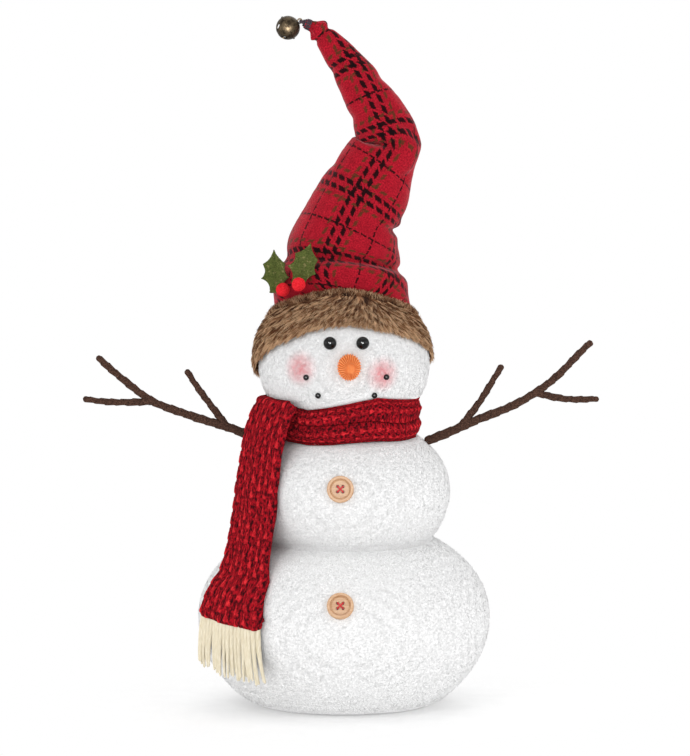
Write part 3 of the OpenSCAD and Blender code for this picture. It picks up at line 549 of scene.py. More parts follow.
def plaid_red():
    """Red flannel with black and olive twill lines along and across"""
    made = Finish("plaid_red", Roughness=0.95, Specular_IOR_Level=0.03, Sheen_Weight=0.5,
                  Sheen_Roughness=0.35, Sheen_Tint=colour("#f0a8ac"))
    cloth = made.cloth()
    flat = made.node("SeparateXYZ", {0: cloth})
    ways = [flat, flat.node.outputs[1]]
    nap = made.noise(cloth, 900, 4, 0.65)
    cloud = made.noise(cloth, 130, 3, 0.6)
    ragged = made.math("MULTIPLY", made.math("SUBTRACT", nap, 0.5), 3.4)
    tone = made.tones(nap, 0.34, 0.64, "#7e0a1b", "#b81a2c")
    tone = made.over(tone, made.band(cloud, 0.35, 0.75, 0, 0.4), "#700815")

    def line(way, at, width, dash, part, slant):
        """Share of a dashed line that shows"""
        shift = made.centred(made.math("ADD", made.math("DIVIDE", ways[way], PLAID * MM), 0.5))
        near = made.math("MULTIPLY", made.math("ABSOLUTE", shift), PLAID)
        off = made.math("ABSOLUTE", made.math("SUBTRACT", near, at))
        run = made.math("ADD", made.math("DIVIDE", ways[1 - way], dash * MM),
                        made.math("MULTIPLY", shift, PLAID * slant / dash))
        beat = made.math("ABSOLUTE", made.centred(run))
        edge = made.math("ADD", off, ragged)
        dashed = made.math("ADD", beat, made.math("MULTIPLY", ragged, 0.08))
        return made.math("MULTIPLY", made.band(edge, width / 2 + LINE_EDGE, width / 2 - LINE_EDGE),
                         made.band(dashed, part / 2 + DASH_EDGE, part / 2 - DASH_EDGE))

    for lines, strength, code in ((OLIVE_LINES, 0.72, "#2e3016"), (BLACK_LINES, 0.97, "#100507")):
        for way in (0, 1):
            for numbers in lines:
                tone = made.over(tone, made.math("MULTIPLY", line(way, *numbers), strength), code)
    made.paint(tone)
    twill = made.node("TexWave", {"Vector": made.stretch(cloth, (1, 1, 1), (0, 0, math.pi / 4)),
                                  "Scale": 330.0, "Distortion": 1.5, "Detail": 1.0})
    made.relief(made.math("ADD", twill, nap), 0.25, 0.5)
    return made.material


def felt(name, dark, light, edge=None):
    made = Finish(name, Roughness=0.95, Specular_IOR_Level=0.03)
    where = made.places()
    fibre = made.noise(made.stretch(where, (1, 1, 2.5), (0.6, 0.4, 0.2)), 700, 4, 0.7)
    cloud = made.noise(where, 160, 3)
    tone = made.tones(fibre, 0.35, 0.65, dark, light)
    if edge:
        pale = made.math("MULTIPLY", made.band(made.noise(where, 320, 4, 0.7), 0.55, 0.68), 0.55)
        tone = made.over(tone, pale, edge)
    made.paint(made.over(tone, made.band(cloud, 0.4, 0.8, 0, 0.3), dark))
    made.relief(fibre, 0.35, 0.8)
    return made.material


def aged_bronze():
    made = Finish("aged_bronze", Metallic=1.0)
    where = made.places()
    stain = made.noise(where, 260, 4, 0.6)
    scratch = made.noise(made.stretch(where, (1, 3, 0.6)), 900, 3)
    tone = made.tones(stain, 0.35, 0.65, "#241e17", "#4e4334")
    made.paint(made.over(tone, made.band(scratch, 0.58, 0.72, 0, 0.4), "#7c6c52"))
    made.shade("Roughness", made.band(stain, 0.3, 0.7, 0.55, 0.38))
    made.relief(stain, 0.15, 0.4)
    return made.material


def twig_brown():
    made = Finish("twig_brown", Roughness=0.9, Specular_IOR_Level=0.05)
    where = made.places()
    crepe = made.noise(made.stretch(where, (1, 1, 1.4)), 800, 4, 0.65)
    tone = made.tones(crepe, 0.3, 0.7, "#2c1c16", "#5a4034")
    # The step where each lap of tape meets the next is painted darker, as painted shade
    made.paint(made.over(tone, made.band(made.value("lap_step_shade"), 0.3, 1.0, 0, 0.75), "#1d120e"))
    made.relief(crepe, 0.3, 0.8)
    return made.material


def wear(piece, material):
    piece.data.materials.clear()
    piece.data.materials.append(material)


def set_value(piece, name, values):
    mark = piece.data.attributes.new(name, "FLOAT", "POINT")
    mark.data.foreach_set("value", np.ascontiguousarray(values, dtype=np.float32))


def settle(piece, material, body, slot, *nodes):
    """Dresses a piece, rides it on its body and stands it in for its CAD nodes"""
    wear(piece, material)
    only(piece)
    bpy.ops.object.shade_smooth()
    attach(piece, body)
    if nodes:
        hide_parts(*nodes)
    return piece


# Fleece balls

# Width of the tight cloth along a ball's seams, and radius of the pile in the waist crease
SEAM_W = 7
WAIST_R = 66.2


def fleece_ball(name, ball, skin, voxel, material, *hidden):
    piece = copy_of(name, skin)
    edit(piece, (bpy.ops.mesh.convex_hull, {}))
    shape(piece, "REMESH", mode="VOXEL", voxel_size=voxel * MM)
    shape(piece, "SMOOTH", factor=0.5, iterations=4)
    co = points(piece) / MM
    seam = co[:, 2] - ball[0]
    if ball[5]:
        seam = np.minimum(seam, np.abs(co[:, 2] - ball[4]))
    stuff(piece, smooth((SEAM_W - seam) / SEAM_W))
    shape(piece, "SUBSURF", levels=2, render_levels=2)
    lumps(piece, 16, 0.7)
    lumps(piece, 3.0, 0.28)
    co = points(piece)
    # The pile stands out into the waist crease, and lies flat under the base
    r = np.linalg.norm(co[:, :2], axis=1) / MM
    near = np.abs(co[:, 2] / MM - LOWER[4])
    full = np.where((r > 50) & (near < 6), np.maximum(r, WAIST_R - 0.02 * near ** 2), r)
    co[:, :2] *= (full / np.maximum(r, 1))[:, None]
    co[:, 2] = np.maximum(co[:, 2], 0)
    move_points(piece, co)
    settle(piece, material, "body", "fleece", skin, *hidden)
    return piece


def spikes(name, root, tip, width, across, n, material, slot, tones, lit=None):
    """Thin three-sided hairs from root to tip, soft ones lit like a surface with these normals"""
    w = width[:, None]
    co = np.stack([root + across * w, root - across * w, root + n * w * 1.4, tip], 1).reshape(-1, 3)
    faces = 4 * np.arange(len(root))[:, None, None] + np.array([[0, 1, 3], [1, 2, 3], [2, 0, 3], [0, 2, 1]])
    data = bpy.data.meshes.new(name)
    data.from_pydata((co * MM).tolist(), [], faces.reshape(-1, 3).tolist())
    piece = put(name, data)
    set_value(piece, "tone" if lit is None else "pile", tones.ravel())
    settle(piece, material, "body", slot)
    if lit is not None:
        data.normals_split_custom_set_from_vertices(lit.repeat(4, 0).tolist())
    return piece


# The pile keeps clear of these nodes and of the mouth's beads
BARE_NODES = ("lower_button", "upper_button", "left_eye", "right_eye", "nose")
MOUTH_SPOTS = [ball_point(HEAD, 1.7 * DEG + side * math.asin(out / ball_r(HEAD, z)), z)
               for side in (-1, 1) for out, z in ((29.8, 253.5), (20.9, 240.0))]
MOUTH_R = 2.4


def fleece_fuzz(name, piece, ball, count, seed, keep, material):
    """Short curls that stand off a ball, away from its buttons, beads and nose"""
    rng = np.random.default_rng(seed)
    co, n = points(piece) / MM, outward(piece)
    boxes = [np.array(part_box(node)) / MM for node in BARE_NODES]
    bare = [((lo + hi) / 2, (hi - lo).max() / 2) for lo, hi in boxes]
    bare += [(spot, MOUTH_R) for spot in MOUTH_SPOTS]
    free = keep(co) & (co[:, 2] > 3)
    for centre, reach in bare:
        free &= np.linalg.norm(co - centre, axis=1) > reach * 1.04
    pick = rng.permutation(np.nonzero(free)[0])[:count]
    count = len(pick)
    root, n = co[pick] - 0.3 * n[pick], n[pick]
    across = unit(np.cross(n, rng.normal(0, 1, n.shape)))
    along = np.cross(n, across)
    root = root + across * rng.uniform(-0.7, 0.7, (count, 1)) + along * rng.uniform(-0.7, 0.7, (count, 1))
    away = unit(n * rng.uniform(0.35, 0.9, (count, 1)) + along)
    tip = root + away * rng.uniform(1.2, 2.4, (count, 1))
    tip[:, 2] = np.maximum(tip[:, 2], 0.3)
    # Each curl's tip is painted lightest and its root a random share darker, as painted shade deep in the
    # pile
    tones = np.stack([rng.uniform(-0.3, 0.7, count)] * 3 + [np.ones(count)], 1)
    # The pile is lit like the even ball. Light soaks into the waist crease and under the body
    even = (root - np.array([0, 0, ball[2]])) / vec(ball[3], ball[3], half_at(ball, root[:, 2])) ** 2
    level = unit(root * np.array([1, 1, 0]))
    soaked = np.maximum(0.75 * bump((root[:, 2] - LOWER[4]) / 18), 0.6 * smooth((48 - root[:, 2]) / 45))
    lit = unit(mix(mix(n, unit(even), 0.6), level, soaked[:, None]))
    width = rng.uniform(0.24, 0.44, count)
    return spikes(name, root, tip, width, across, n, material, "fleece", tones, lit)


# Scarf

WRAP_Z = 203.0
WRAP_H = 29.0
WRAP_R = float(max(ball_r(HEAD, WRAP_Z + WRAP_H), ball_r(UPPER, WRAP_Z))) + (DRAPE_GAP + 0.4)
WRAP_BULGE = 1.5
# Length of the knit round the folded section, in the finer stitch of the wrap
WRAP_STITCH = 1.85
WRAP_KNIT = WRAP_STITCH * 68
TAIL_Z = 69.0
TAIL_TOP = 230.5
TAIL_W = 74.0
TAIL_TOP_W = 53.0
TAIL_T = 4.0
# Angle of the tail's foot to the left of the front, and how much further its top is
TAIL_AZ = 52
TAIL_SWING = 7
# Folds over the width and their depth, swell below the wrap, and sag between the girths
TAIL_FOLDS = 2.5
TAIL_FOLD_D = 1.6
TAIL_SWELL = 4
TAIL_SAG = 4


def tail_support(z):
    """Distance from the middle of the body at which the tail lies at a height"""
    over = np.clip((z - UPPER[2]) / (TAIL_TOP - UPPER[2]), 0, 1.1)
    # 1.87 brings the top of this swell to its full size
    high = mix(UPPER[3], WRAP_R + WRAP_BULGE, over) + TAIL_SWELL * 1.87 * over * (1 - over ** 4)
    down = np.clip((z - LOWER[2]) / (UPPER[2] - LOWER[2]), 0, 1)
    low = mix(LOWER[3], UPPER[3], down) - TAIL_SAG * np.sin(np.pi * down)
    low = np.maximum(low, np.where(z > UPPER[0], ball_r(UPPER, z), ball_r(LOWER, z)))
    return np.where(z > UPPER[2], np.maximum(high, ball_r(UPPER, z)), low)


def tail_place(z, s, out):
    """A point of the tail at this height, share of the width and distance off its inner face"""
    up = (z - TAIL_Z) / (TAIL_TOP - TAIL_Z)
    turn = (-TAIL_AZ - TAIL_SWING * up) * DEG
    wide = mix(TAIL_W, TAIL_TOP_W, smooth(2.7 * up))
    support = tail_support(z)
    az = turn + wide / support * (s - 0.5)
    r = support + DRAPE_GAP + TAIL_FOLD_D / 2 * (1 + np.sin(2 * np.pi * TAIL_FOLDS * s)) + out
    return round_body(r, az, z), az


def stitch_rise(across, up):
    """Height of the knit's stitches over the cloth, from 0 to 1"""
    column = np.floor(across / STITCH_W)
    x = np.abs(across / STITCH_W - column - 0.5)
    y = (up / STITCH_H + 0.5 * np.mod(column, 2)) % 1 - 0.5
    wide = mix(0.36, 0.08, smooth((y + 0.16) / 0.44))
    drop = smooth((1 - x / wide) / 0.8) * smooth((y + 0.38) / 0.16)
    return 0.85 * drop + 0.15 * np.cos(np.pi * (x - 0.5)) ** 2


# Roll of the top over the wrap, and spare length for the curve over the body and an end tucked in unseen
TAIL_ROLL = 5.0
TAIL_SPARE = 22
TAIL_LENGTH = TAIL_TOP - TAIL_Z + TAIL_ROLL + TAIL_SPARE


def hem_tilt(s):
    """Height of the hem over its level line: lower on the right, round at the corners"""
    near = np.clip(np.abs(2 * s - 1) - 0.84, 0, 0.16) / 0.16
    return 3 - 4.5 * s + 5 * (1 - np.sqrt(1 - near ** 2))


def scarf_tail(material):
    rise = TAIL_TOP - TAIL_Z

    def place(u, v):
        height = v * (rise + TAIL_ROLL) * (1 - 0.028 * smooth((u - 0.8) / 0.2) * v ** 4)
        z = TAIL_Z + np.minimum(height, rise)
        roll = np.clip((height - rise) / TAIL_ROLL, 0, 1)
        bottom = bump(height / 4)
        edge = smooth((np.abs(u - 0.5) - 0.46) / 0.04)
        wave = 0.007 * np.sin(height / 11) + 0.003 * np.sin(height / 4.3 + 1)
        s = u + wave * np.sign(u - 0.5) * np.abs(2 * u - 1) ** 3
        knit = stitch_rise(u * TAIL_W, v * TAIL_LENGTH) * smooth((0.5 - np.abs(u - 0.5)) / 0.05)
        out = TAIL_T - 0.4 + 1.1 * knit - 1.5 * edge - 0.8 * bottom
        rim = 0.9 * bump((height - 2.5) / 2.5)
        p, az = tail_place(z + hem_tilt(u) * bump(height / 30), s, out + rim)
        # The top rolls in over the wrap
        turn = roll * np.pi / 2
        p = p + round_body(-1, az, 0) * (6.0 * (1 - np.cos(turn)))[:, None]
        return p + np.array([0, 0, 3.4]) * np.sin(turn)[:, None]

    piece = laid("scarf_tail_knit", 108, 250, place)
    lay_pattern(piece, lambda u, v: (u * TAIL_W, v * TAIL_LENGTH))
    face_away(piece)
    shape(piece, "SOLIDIFY", thickness=3.0 * MM, offset=-1)
    wear(piece, material)
    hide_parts("scarf_tail")
    return piece


def face_away(piece):
    """Turns a sheet's faces away from the middle of the body"""
    co = points(piece)
    n = outward(piece)
    if np.sum(n[:, :2] * co[:, :2]) < 0:
        edit(piece, (bpy.ops.mesh.flip_normals, {}))


# Rise of the wrap's upper and lower edges at angles to the right of the front
WRAP_TOP = ((-180, -90, -45, -29, 0, 25, 45, 70, 90, 180),
            (0, 0, -2.5, -4, 0.5, 5.5, 3.5, 0.5, -1, 0))
WRAP_LOW = ((-180, -90, -29, 0, 30, 60, 78, 95, 180), (0, 0, -1.5, 0, 1, -0.5, -1, 0.5, 0))


def wrap_top(az):
    return WRAP_Z + WRAP_H + np.interp(az / DEG, *WRAP_TOP) + 0.5 * np.sin(5 * az + 0.5)


def scarf_wrap(material):
    girth = 2 * np.pi * WRAP_R

    def place(u, v):
        az = (u - 0.5) * 2 * np.pi
        # Round the section: up the outer face over both rolls, and down the inner face behind them
        around = v * 2 * np.pi
        knit = stitch_rise(v * WRAP_KNIT, WRAP_STITCH * u * girth)
        top = wrap_top(az)
        low = WRAP_Z + np.interp(az / DEG, *WRAP_LOW) + 0.4 * np.sin(6 * az)
        share = (1 - np.cos(around)) / 2
        z = mix(low, top, share)
        face = np.sin(around)
        crease = 0.45 + 0.12 * smooth((35 - az / DEG) / 65) + 0.02 * np.sin(5 * az)
        past = (share - crease) / (1 - crease)
        rolls = np.abs(np.sin(np.pi * np.where(share < crease, share / crease, past)))
        fold = 8 - 5.7 * smooth((np.abs(az / DEG - 30) - 65) / 30)
        # The upper roll hangs over the fold and closes it to a dark line
        above = (share - crease) * (top - low)
        hang = 2.3 * bump((above - 2.4) / 1.5) - 1.4 * bump((above + 2.2) / 1.5)
        z = z - np.where(face > 0, fold / 8, 0) * hang
        full = WRAP_R + 1.1 - 1.6 * smooth((az / DEG - 30) / 40)
        front = full - fold * (1 - rolls ** 0.4) + 0.8 * knit + 0.5 * np.sin(7 * az + 6 * share)
        inner = np.where(z < UPPER[4], ball_r(UPPER, z), ball_r(HEAD, z)) + SEAT_GAP
        # Round the sides and the back the upper edge is pressed in under the head
        middle = np.maximum(inner + 1.2, WRAP_R - 4)
        pressed = smooth((np.abs(az / DEG - 10) - 40) / 20)
        middle = mix(middle, np.minimum(middle, full - 0.8), pressed)
        r = np.where(face >= 0, mix(middle, front, np.clip(np.abs(face), 0, 1) ** 0.35),
                     mix(middle, inner, np.clip(np.abs(face), 0, 1) ** 0.5))
        return round_body(r, az, z)

    piece = laid("scarf_wrap_knit", 420, 120, place, closed=True)
    lay_pattern(piece, lambda u, v: (v * WRAP_KNIT, WRAP_STITCH * u * girth))
    return settle(piece, material, "body", "knit_red", "scarf_wrap")


def twisted(name, path, radius, pitch, sides, steps, taper=0.0, groove=0.34):
    """Two-ply yarn along a path of points, with the hollow between its plies kept as a value for painted
    shade
    """
    far = run_of(path)
    turns = 2 * np.pi * far[-1] / pitch

    def lobes(u, v):
        return np.abs(np.cos(2 * np.pi * u - turns * v / 2))

    def place(u, v):
        d = unit(sample(headings(path, far), far, v * far[-1]))
        e = unit(np.cross(d, np.array([0.31, 0.92, 0.24])))
        end = np.sqrt(np.clip(np.minimum(v, 1 - v) / 0.03, 0, 1))
        r = radius * (1 - groove + groove * lobes(u, v)) * end * (1 - taper * v)
        return ring(sample(path, far, v * far[-1]), r, 2 * np.pi * u, e, np.cross(d, e))

    piece = laid(name, sides, steps, place)
    # The hollow between the plies, which the fringe's finish paints darker as shade
    set_value(piece, "ply_valley_shade", 1 - lobes(*grid_shares(sides, steps)))
    weld(piece)
    return piece


FRINGE_COUNT = 38
FRINGE_R = 1.85
FRINGE_PITCH = 11.0


def scarf_fringe(material):
    rng = np.random.default_rng(7)
    strands = []
    t = np.linspace(0, 1, 16)[:, None]
    for i in range(FRINGE_COUNT):
        s = 0.035 + 0.93 * (i + 0.5) / FRINGE_COUNT
        # Every second strand lies in front
        height = np.array(TAIL_Z + 3.5 + hem_tilt(s))
        top, az = tail_place(height, np.array(s), np.array(0.6 + 1.1 * (i % 2)))
        away = round_body(1, az, 0)
        side = np.array([math.cos(az), math.sin(az), 0])
        length = 43 - 5 * (1 - s) ** 2 + rng.uniform(-2.5, 2.5)
        sway = rng.uniform(-1.6, 1.6) + 13 * (s - 0.35) * abs(s - 0.35) + 1.5 * s
        bow = 1.0 + 3.0 * (1 - s) ** 2 + rng.uniform(-0.8, 0.8)
        path = (top - np.array([0, 0, 1]) * length * t + away * bow * np.sin(np.pi / 2 * t)
                + side * (sway * t ** 2 - 2.0 * (1 - s) ** 2 * np.sin(np.pi * t)
                          + 0.4 * np.sin(4 * t + 2.4 * i)))
        radius = FRINGE_R + rng.uniform(-0.2, 0.2)
        strands.append(twisted(f"strand_{i}", path, radius, FRINGE_PITCH, 10, 40, 0.5, 0.08))
    piece = joined("scarf_fringe_yarn", strands)
    settle(piece, material, "scarf_tail", "fringe_cream", "scarf_fringe")
    # Soft fibres: the yarn is lit partly like its own round, partly like the whole fringe
    _, az = tail_place(np.array(TAIL_Z), np.array(0.5), np.array(0.0))
    n = unit(0.6 * outward(piece) + round_body(1, az, 0.2))
    piece.data.normals_split_custom_set_from_vertices(n.tolist())
    return piece


# Fur band

# Elevations of its lower and upper edge at the front, the sides and the back
FUR_LOW = (32, -1, -11)
FUR_TOP = (63.5, 38, 20)


def fur_spot(az, v, out):
    lift = mix(edge_lift(FUR_LOW, az) + 5 * np.sin(az), edge_lift(FUR_TOP, az), v) * DEG
    return on_head(head_dir(az, lift), out)


def under_fur(material):
    def place(u, v):
        az = (u - 0.5) * 2 * np.pi
        around = v * 2 * np.pi
        share = 0.14 + 0.86 * (1 - np.cos(around)) / 2
        out = (0.7 + 1.6 * np.maximum(0, np.sin(around)) ** 0.5) * (1 - 0.35 * np.sin(az))
        return fur_spot(az, share, out)

    piece = laid("fur_backing", 120, 28, place, closed=True)
    return settle(piece, material, "body", "fur_brown", "fur_band")


def fur_pile(name, material, count, back, seed):
    """Short combed hairs in locks of their own tone, tan along the lower edge"""
    rng = np.random.default_rng(seed)
    locks = count // 8
    lock = np.arange(count) % locks
    lock_az = rng.uniform(-np.pi / 2, np.pi / 2, locks) + (np.pi if back else 0)
    lock_v = rng.uniform(0.1, 1.02, locks)
    # More and more of the locks stand up against the hat toward the upper edge, and come apart there
    stand = (rng.uniform(0, 1, locks) < smooth((lock_v - 0.8) / 0.22))[lock]
    az = lock_az[lock] + rng.normal(0, 0.006, count) * np.where(stand, 5, 1)
    v = lock_v[lock] + rng.normal(0, 0.012, count) * np.where(stand, 1.5, 1)
    deep = (0.8 + 2.2 * np.sin(np.pi * (0.12 + 0.6 * np.clip(v, 0, 1.1)))) * (1 - 0.35 * np.sin(az))
    root = fur_spot(az, v, deep)
    n = unit(fur_spot(az, v, deep + 3) - root)
    down = unit(fur_spot(az, v - 0.1, deep) - root)
    side = np.cross(down, n)
    part = np.where(back, 0.15 * np.sin(9 * lock_az), -0.8 + 1.5 * smooth((lock_az / DEG - 5) / 50))
    lean = (part + rng.normal(0, 0.28, locks))[lock] + rng.normal(0, 0.06, count)
    upright = n * 0.45 + np.array([0, 0, 0.7]) - side * rng.normal(0.15, 0.5, count)[:, None]
    comb = unit(np.where(stand[:, None], upright, down - side * lean[:, None]))
    length = (rng.uniform(7, 11, locks)[lock] * rng.uniform(0.85, 1.1, count)
              * np.where(stand, 0.42, np.clip((v + 0.1) / 0.3, 0.65, 1)))
    lift = np.where(stand, 0, rng.uniform(0.03, 0.2, locks)[lock])
    tip = root + comb * length[:, None] + n * (length * lift)[:, None]
    own = rng.choice([-0.4, -0.02, 0.4], locks, p=[0.36, 0.3, 0.34]) + rng.uniform(-0.12, 0.12, locks)
    own = own[lock] + rng.uniform(-0.08, 0.08, count)
    tan = 0.5 * np.clip((0.36 - v) / 0.2, 0, 1)
    dusk = 0.14 * smooth((v - 0.5) / 0.4)
    tones = np.clip(np.stack([0.4 + own - dusk] * 3 + [0.7 + own + tan - dusk], 1), 0, 1)
    width = rng.uniform(0.26, 0.42, count)
    return spikes(name, root, tip, width, unit(np.cross(comb, n)), n, material, "fur_brown", tones)


# Hat

# Elevation of its lower edge at the front, the sides and the back, and its radius there and at the kink
HAT_EDGE = (65, 39.5, 21.5)
HAT_R = 53.0
KINK_R = 25.0
# Length of cloth to each side of the kink that bends
KINK_SPAN = 14
# Fullness of the soft fold on the right, below the kink
FOLD = 3.5


def edge_spot(az, out):
    """A point of the hat's lower edge, at this distance off the head"""
    return on_head(head_dir(az, edge_lift(HAT_EDGE, az) * DEG), np.full_like(az, out))


HAT_FRONT, HAT_REAR = edge_spot(np.array([0.0, np.pi]), 0)
HAT_BASE = np.array([-1.5, 16, (HAT_FRONT[2] + HAT_REAR[2]) / 2 + 5.5])
HAT_TILT = math.atan2(HAT_FRONT[2] - HAT_REAR[2], abs(HAT_FRONT[1]) + abs(HAT_REAR[1]))
HAT_UP = np.array([0, math.sin(HAT_TILT), math.cos(HAT_TILT)])
KINK = np.array([34.0, 27.0, 420.0])
# The crown bows to the left and back before it leans to the kink
HAT_BOW = HAT_BASE + np.array([-8.5, 10, 0.36 * (KINK[2] - HAT_BASE[2])])
# The tip reaches to the left of the kink and rises, steered by two points of its curl
TIP_REACH = 58
TIP_RISE = 88
TIP_BASE = KINK + np.array([-TIP_REACH, -1, TIP_RISE])
TIP_P1 = KINK + np.array([-0.16 * TIP_REACH, 0, 0.36 * TIP_RISE])
TIP_P2 = TIP_BASE + np.array([0.18 * TIP_REACH, 0, -0.05 * TIP_RISE])
TIP_DIR = unit(TIP_BASE - TIP_P2)
# The gathered end is as long as the binding in the part's source, with the flare that keeps it on
BIND_TURNS = 2
BIND_D = 1.1
BIND_GAP = 0.5
FLARE = 0.8
GATHER_L = BIND_TURNS * (BIND_D + BIND_GAP) + BIND_D + 2 * BIND_GAP + FLARE
GATHER_R = 3.4
# Points along the crown's middle line and the tip's, and along the gathered end
LINE_POINTS = 90
END_POINTS = 11


def hat_line():
    """Points of the hat's middle line, its radius and its way up at each of them"""
    t = np.linspace(0, 1, LINE_POINTS)[:, None]
    crown = HAT_BASE * (1 - t) ** 2 + HAT_BOW * 2 * t * (1 - t) + KINK * t * t
    curl = (KINK * (1 - t) ** 3 + TIP_P1 * 3 * t * (1 - t) ** 2 + TIP_P2 * 3 * t * t * (1 - t)
            + TIP_BASE * t ** 3)
    end = TIP_BASE + TIP_DIR * (np.linspace(0, 1, END_POINTS + 1)[1:, None] * GATHER_L)
    line = np.concatenate([crown, curl[1:], end])
    t = t[:, 0]
    tip_r = mix(mix(KINK_R, KINK_R * 0.34, t / 0.8), GATHER_R, smooth((t - 0.86) / 0.12))
    radius = np.concatenate([mix(HAT_R, KINK_R, t), tip_r[1:], np.full(END_POINTS, GATHER_R)])
    far = run_of(line)
    kink_at = far[LINE_POINTS - 1]
    lean = np.clip(far / (0.35 * kink_at), 0, 1)[:, None]
    way = unit(mix(HAT_UP, unit(headings(line, far)), lean))
    # The cloth turns over a length at the kink, not at a point
    fine = np.linspace(0, far[-1], 700)
    even = sample(way, far, fine)
    reach = int(KINK_SPAN / fine[1])
    kernel = np.hanning(2 * reach + 1)
    kernel /= kernel.sum()
    wide = np.pad(even, ((reach, reach), (0, 0)), mode="edge")
    even = unit(np.stack([np.convolve(wide[:, k], kernel, "valid") for k in range(3)], 1))
    return line, far, radius, sample(even, fine, far), kink_at


# Creases: place up from the kink, width, depth, angle to the right of the front, spread of angle, slope
HAT_CREASES = [
    (0, 4.5, 8.5, -88, 62, 2.0),
    (0, 3.5, 4.5, 0, 70, 2.0),
    (-61, 3.5, 4.8, 92, 42, 0.0),
    (-66, 7.0, 2.0, 30, 60, 8.0),
    (-100, 4.5, 5.0, 15, 75, -4.0),
    (-99, 4.5, 3.6, -70, 60, -4.0),
    (-101, 4.5, 3.6, 140, 90, -2.0),
    (-14, 4.0, 1.8, 60, 35, 14.0),
    (12, 4.0, 1.7, 40, 40, -16.0),
    (30, 5.0, 1.6, -80, 40, 6.0),
    (46, 5.0, 1.4, 80, 40, -6.0),
    (-32, 6.0, 1.5, -95, 40, -10.0),
    (-45, 5.0, 1.4, 100, 35, 12.0),
    (72, 4.0, 1.6, -60, 50, 5.0),
    (20, 5.0, 1.2, 170, 60, 8.0),
    (-50, 7.0, 1.8, 175, 60, -8.0),
]

# Grid of the hat's skin, round it and up it, and the height of its foot, where it spreads to the head
HAT_ACROSS = 132
HAT_ALONG = 300
HAT_FOOT = 30


def hat_crease(a, s, depth, width, angle, spread, slope):
    """Depth of a crease at an angle round the hat and a length past the crease's own place"""
    turn = (a - angle * DEG + np.pi) % (2 * np.pi) - np.pi
    return depth * bump((s - slope * turn) / width) * bump(turn / (spread * DEG))


def hat(material):
    line, far, radius, way, kink_at = hat_line()
    total = far[-1]

    def axes(s):
        d = unit(sample(way, far, s))
        e = square_to(d)
        return sample(line, far, s), e, np.cross(e, d)

    def place(u, v):
        s = total * v
        a = (u - 0.5) * 2 * np.pi
        c, e, side = axes(s)
        r = np.interp(s, far, radius)
        for at, width, depth, angle, spread, slope in HAT_CREASES:
            r = r - hat_crease(a, s - kink_at - at, depth, width, angle, spread, slope)
        # Soft swell between the folds, gathers at the tip
        r = r + 2.2 * bump((s - kink_at + 112) / 9) + 1.2 * bump((s - kink_at + 84) / 10)
        up = np.interp(s, far[:LINE_POINTS], np.linspace(0, 1, LINE_POINTS))
        r = r + 0.9 * FOLD * bump((up - 0.77) / 0.13) * np.maximum(0, np.cos(a - 95 * DEG)) * (s < kink_at)
        # A puckered knuckle of cloth between a tight crease and the thread
        bound = total - GATHER_L
        r = r + 2.4 * bump((s - (bound - 4.6)) / 4.4) - 1.9 * bump((s - (bound - 10)) / 2.2)
        gather = smooth((s - (total - 22)) / 12)
        r = r + gather * 0.45 * np.sin(9 * a + 0.35 * s) * smooth((total - s) / 2 + 0.3)
        r = r - 0.35 * (1 - gather)
        p = ring(c, r, a, -e, side)
        p = mix(p, edge_spot(a, 1), smooth(1 - s / 13)[:, None])
        close = smooth((s - (total - 0.9)) / 0.9)[:, None]
        return mix(p, line[-1], close * 0.999)

    piece = laid("hat_plaid", HAT_ACROSS, HAT_ALONG, place)
    # Length of cloth up the hat, measured down each column in the foot
    u, v = grid_shares(HAT_ACROSS, HAT_ALONG)
    s = total * v
    a = (u - 0.5) * 2 * np.pi
    net = points(piece).reshape(HAT_ALONG + 1, HAT_ACROSS + 1, 3) / MM
    first = int(HAT_FOOT / total * HAT_ALONG)
    steps = np.linalg.norm(np.diff(net[:first + 1], axis=0), axis=2)
    drawn = s.reshape(HAT_ALONG + 1, HAT_ACROSS + 1).copy()
    drawn[:first] = drawn[first] - np.cumsum(steps[::-1], axis=0)[::-1]
    # The cloth is held at its ends and along its creases while it is stuffed
    hold = np.maximum(smooth(1 - s / 16), smooth((s - (total - 14)) / 6))
    for at, width, depth, angle, spread, slope in HAT_CREASES:
        firm = min(1, depth / 5)
        hold = np.maximum(hold, hat_crease(a, s - kink_at - at, firm, width, angle, spread, slope))
    set_value(piece, "hold", hold)
    weld(piece)
    kept = np.empty(len(piece.data.vertices), dtype=np.float32)
    piece.data.attributes["hold"].data.foreach_get("value", kept)
    piece.data.attributes.remove(piece.data.attributes["hold"])
    stuff(piece, kept.astype(float))

    def flat(u, v):
        row, column = np.rint(v * HAT_ALONG).astype(int), np.rint(u * HAT_ACROSS).astype(int)
        return plaid_flat(u, total * v, drawn[row, column], far, radius)

    lay_pattern(piece, flat)
    lumps(piece, 22, 1.6)
    lumps(piece, 7, 0.5)
    wear(piece, material)
    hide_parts("hat_crown", "hat_tip", "hat_wire", "hat_tip_wire")
    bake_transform(piece)
    return piece


# Slant of the plaid, and where the middle of a repeat up the hat and of one across it meets the front
PLAID_SLOPE = 0.126
PLAID_MID = 125.0
PLAID_CROSS = 28.5


def plaid_flat(u, s, drawn, far, radius):
    """Place in the flat cloth of a point on the hat: the cloth is cut as a fan and sewn at the back"""
    r = np.interp(s, far, radius)
    spread = (u - 0.5) * 2 * np.pi * np.minimum(r / (far[-1] - s + 5), 0.3)
    left = far[-1] - drawn + 5
    x = left * np.sin(spread)
    y = far[-1] + 5 - left * np.cos(spread)
    along = x - PLAID_SLOPE * (y - PLAID_MID)
    over = y + PLAID_SLOPE * x - PLAID_CROSS
    return along + 4 * PLAID, over + 4 * PLAID


# Holly, binding and bell

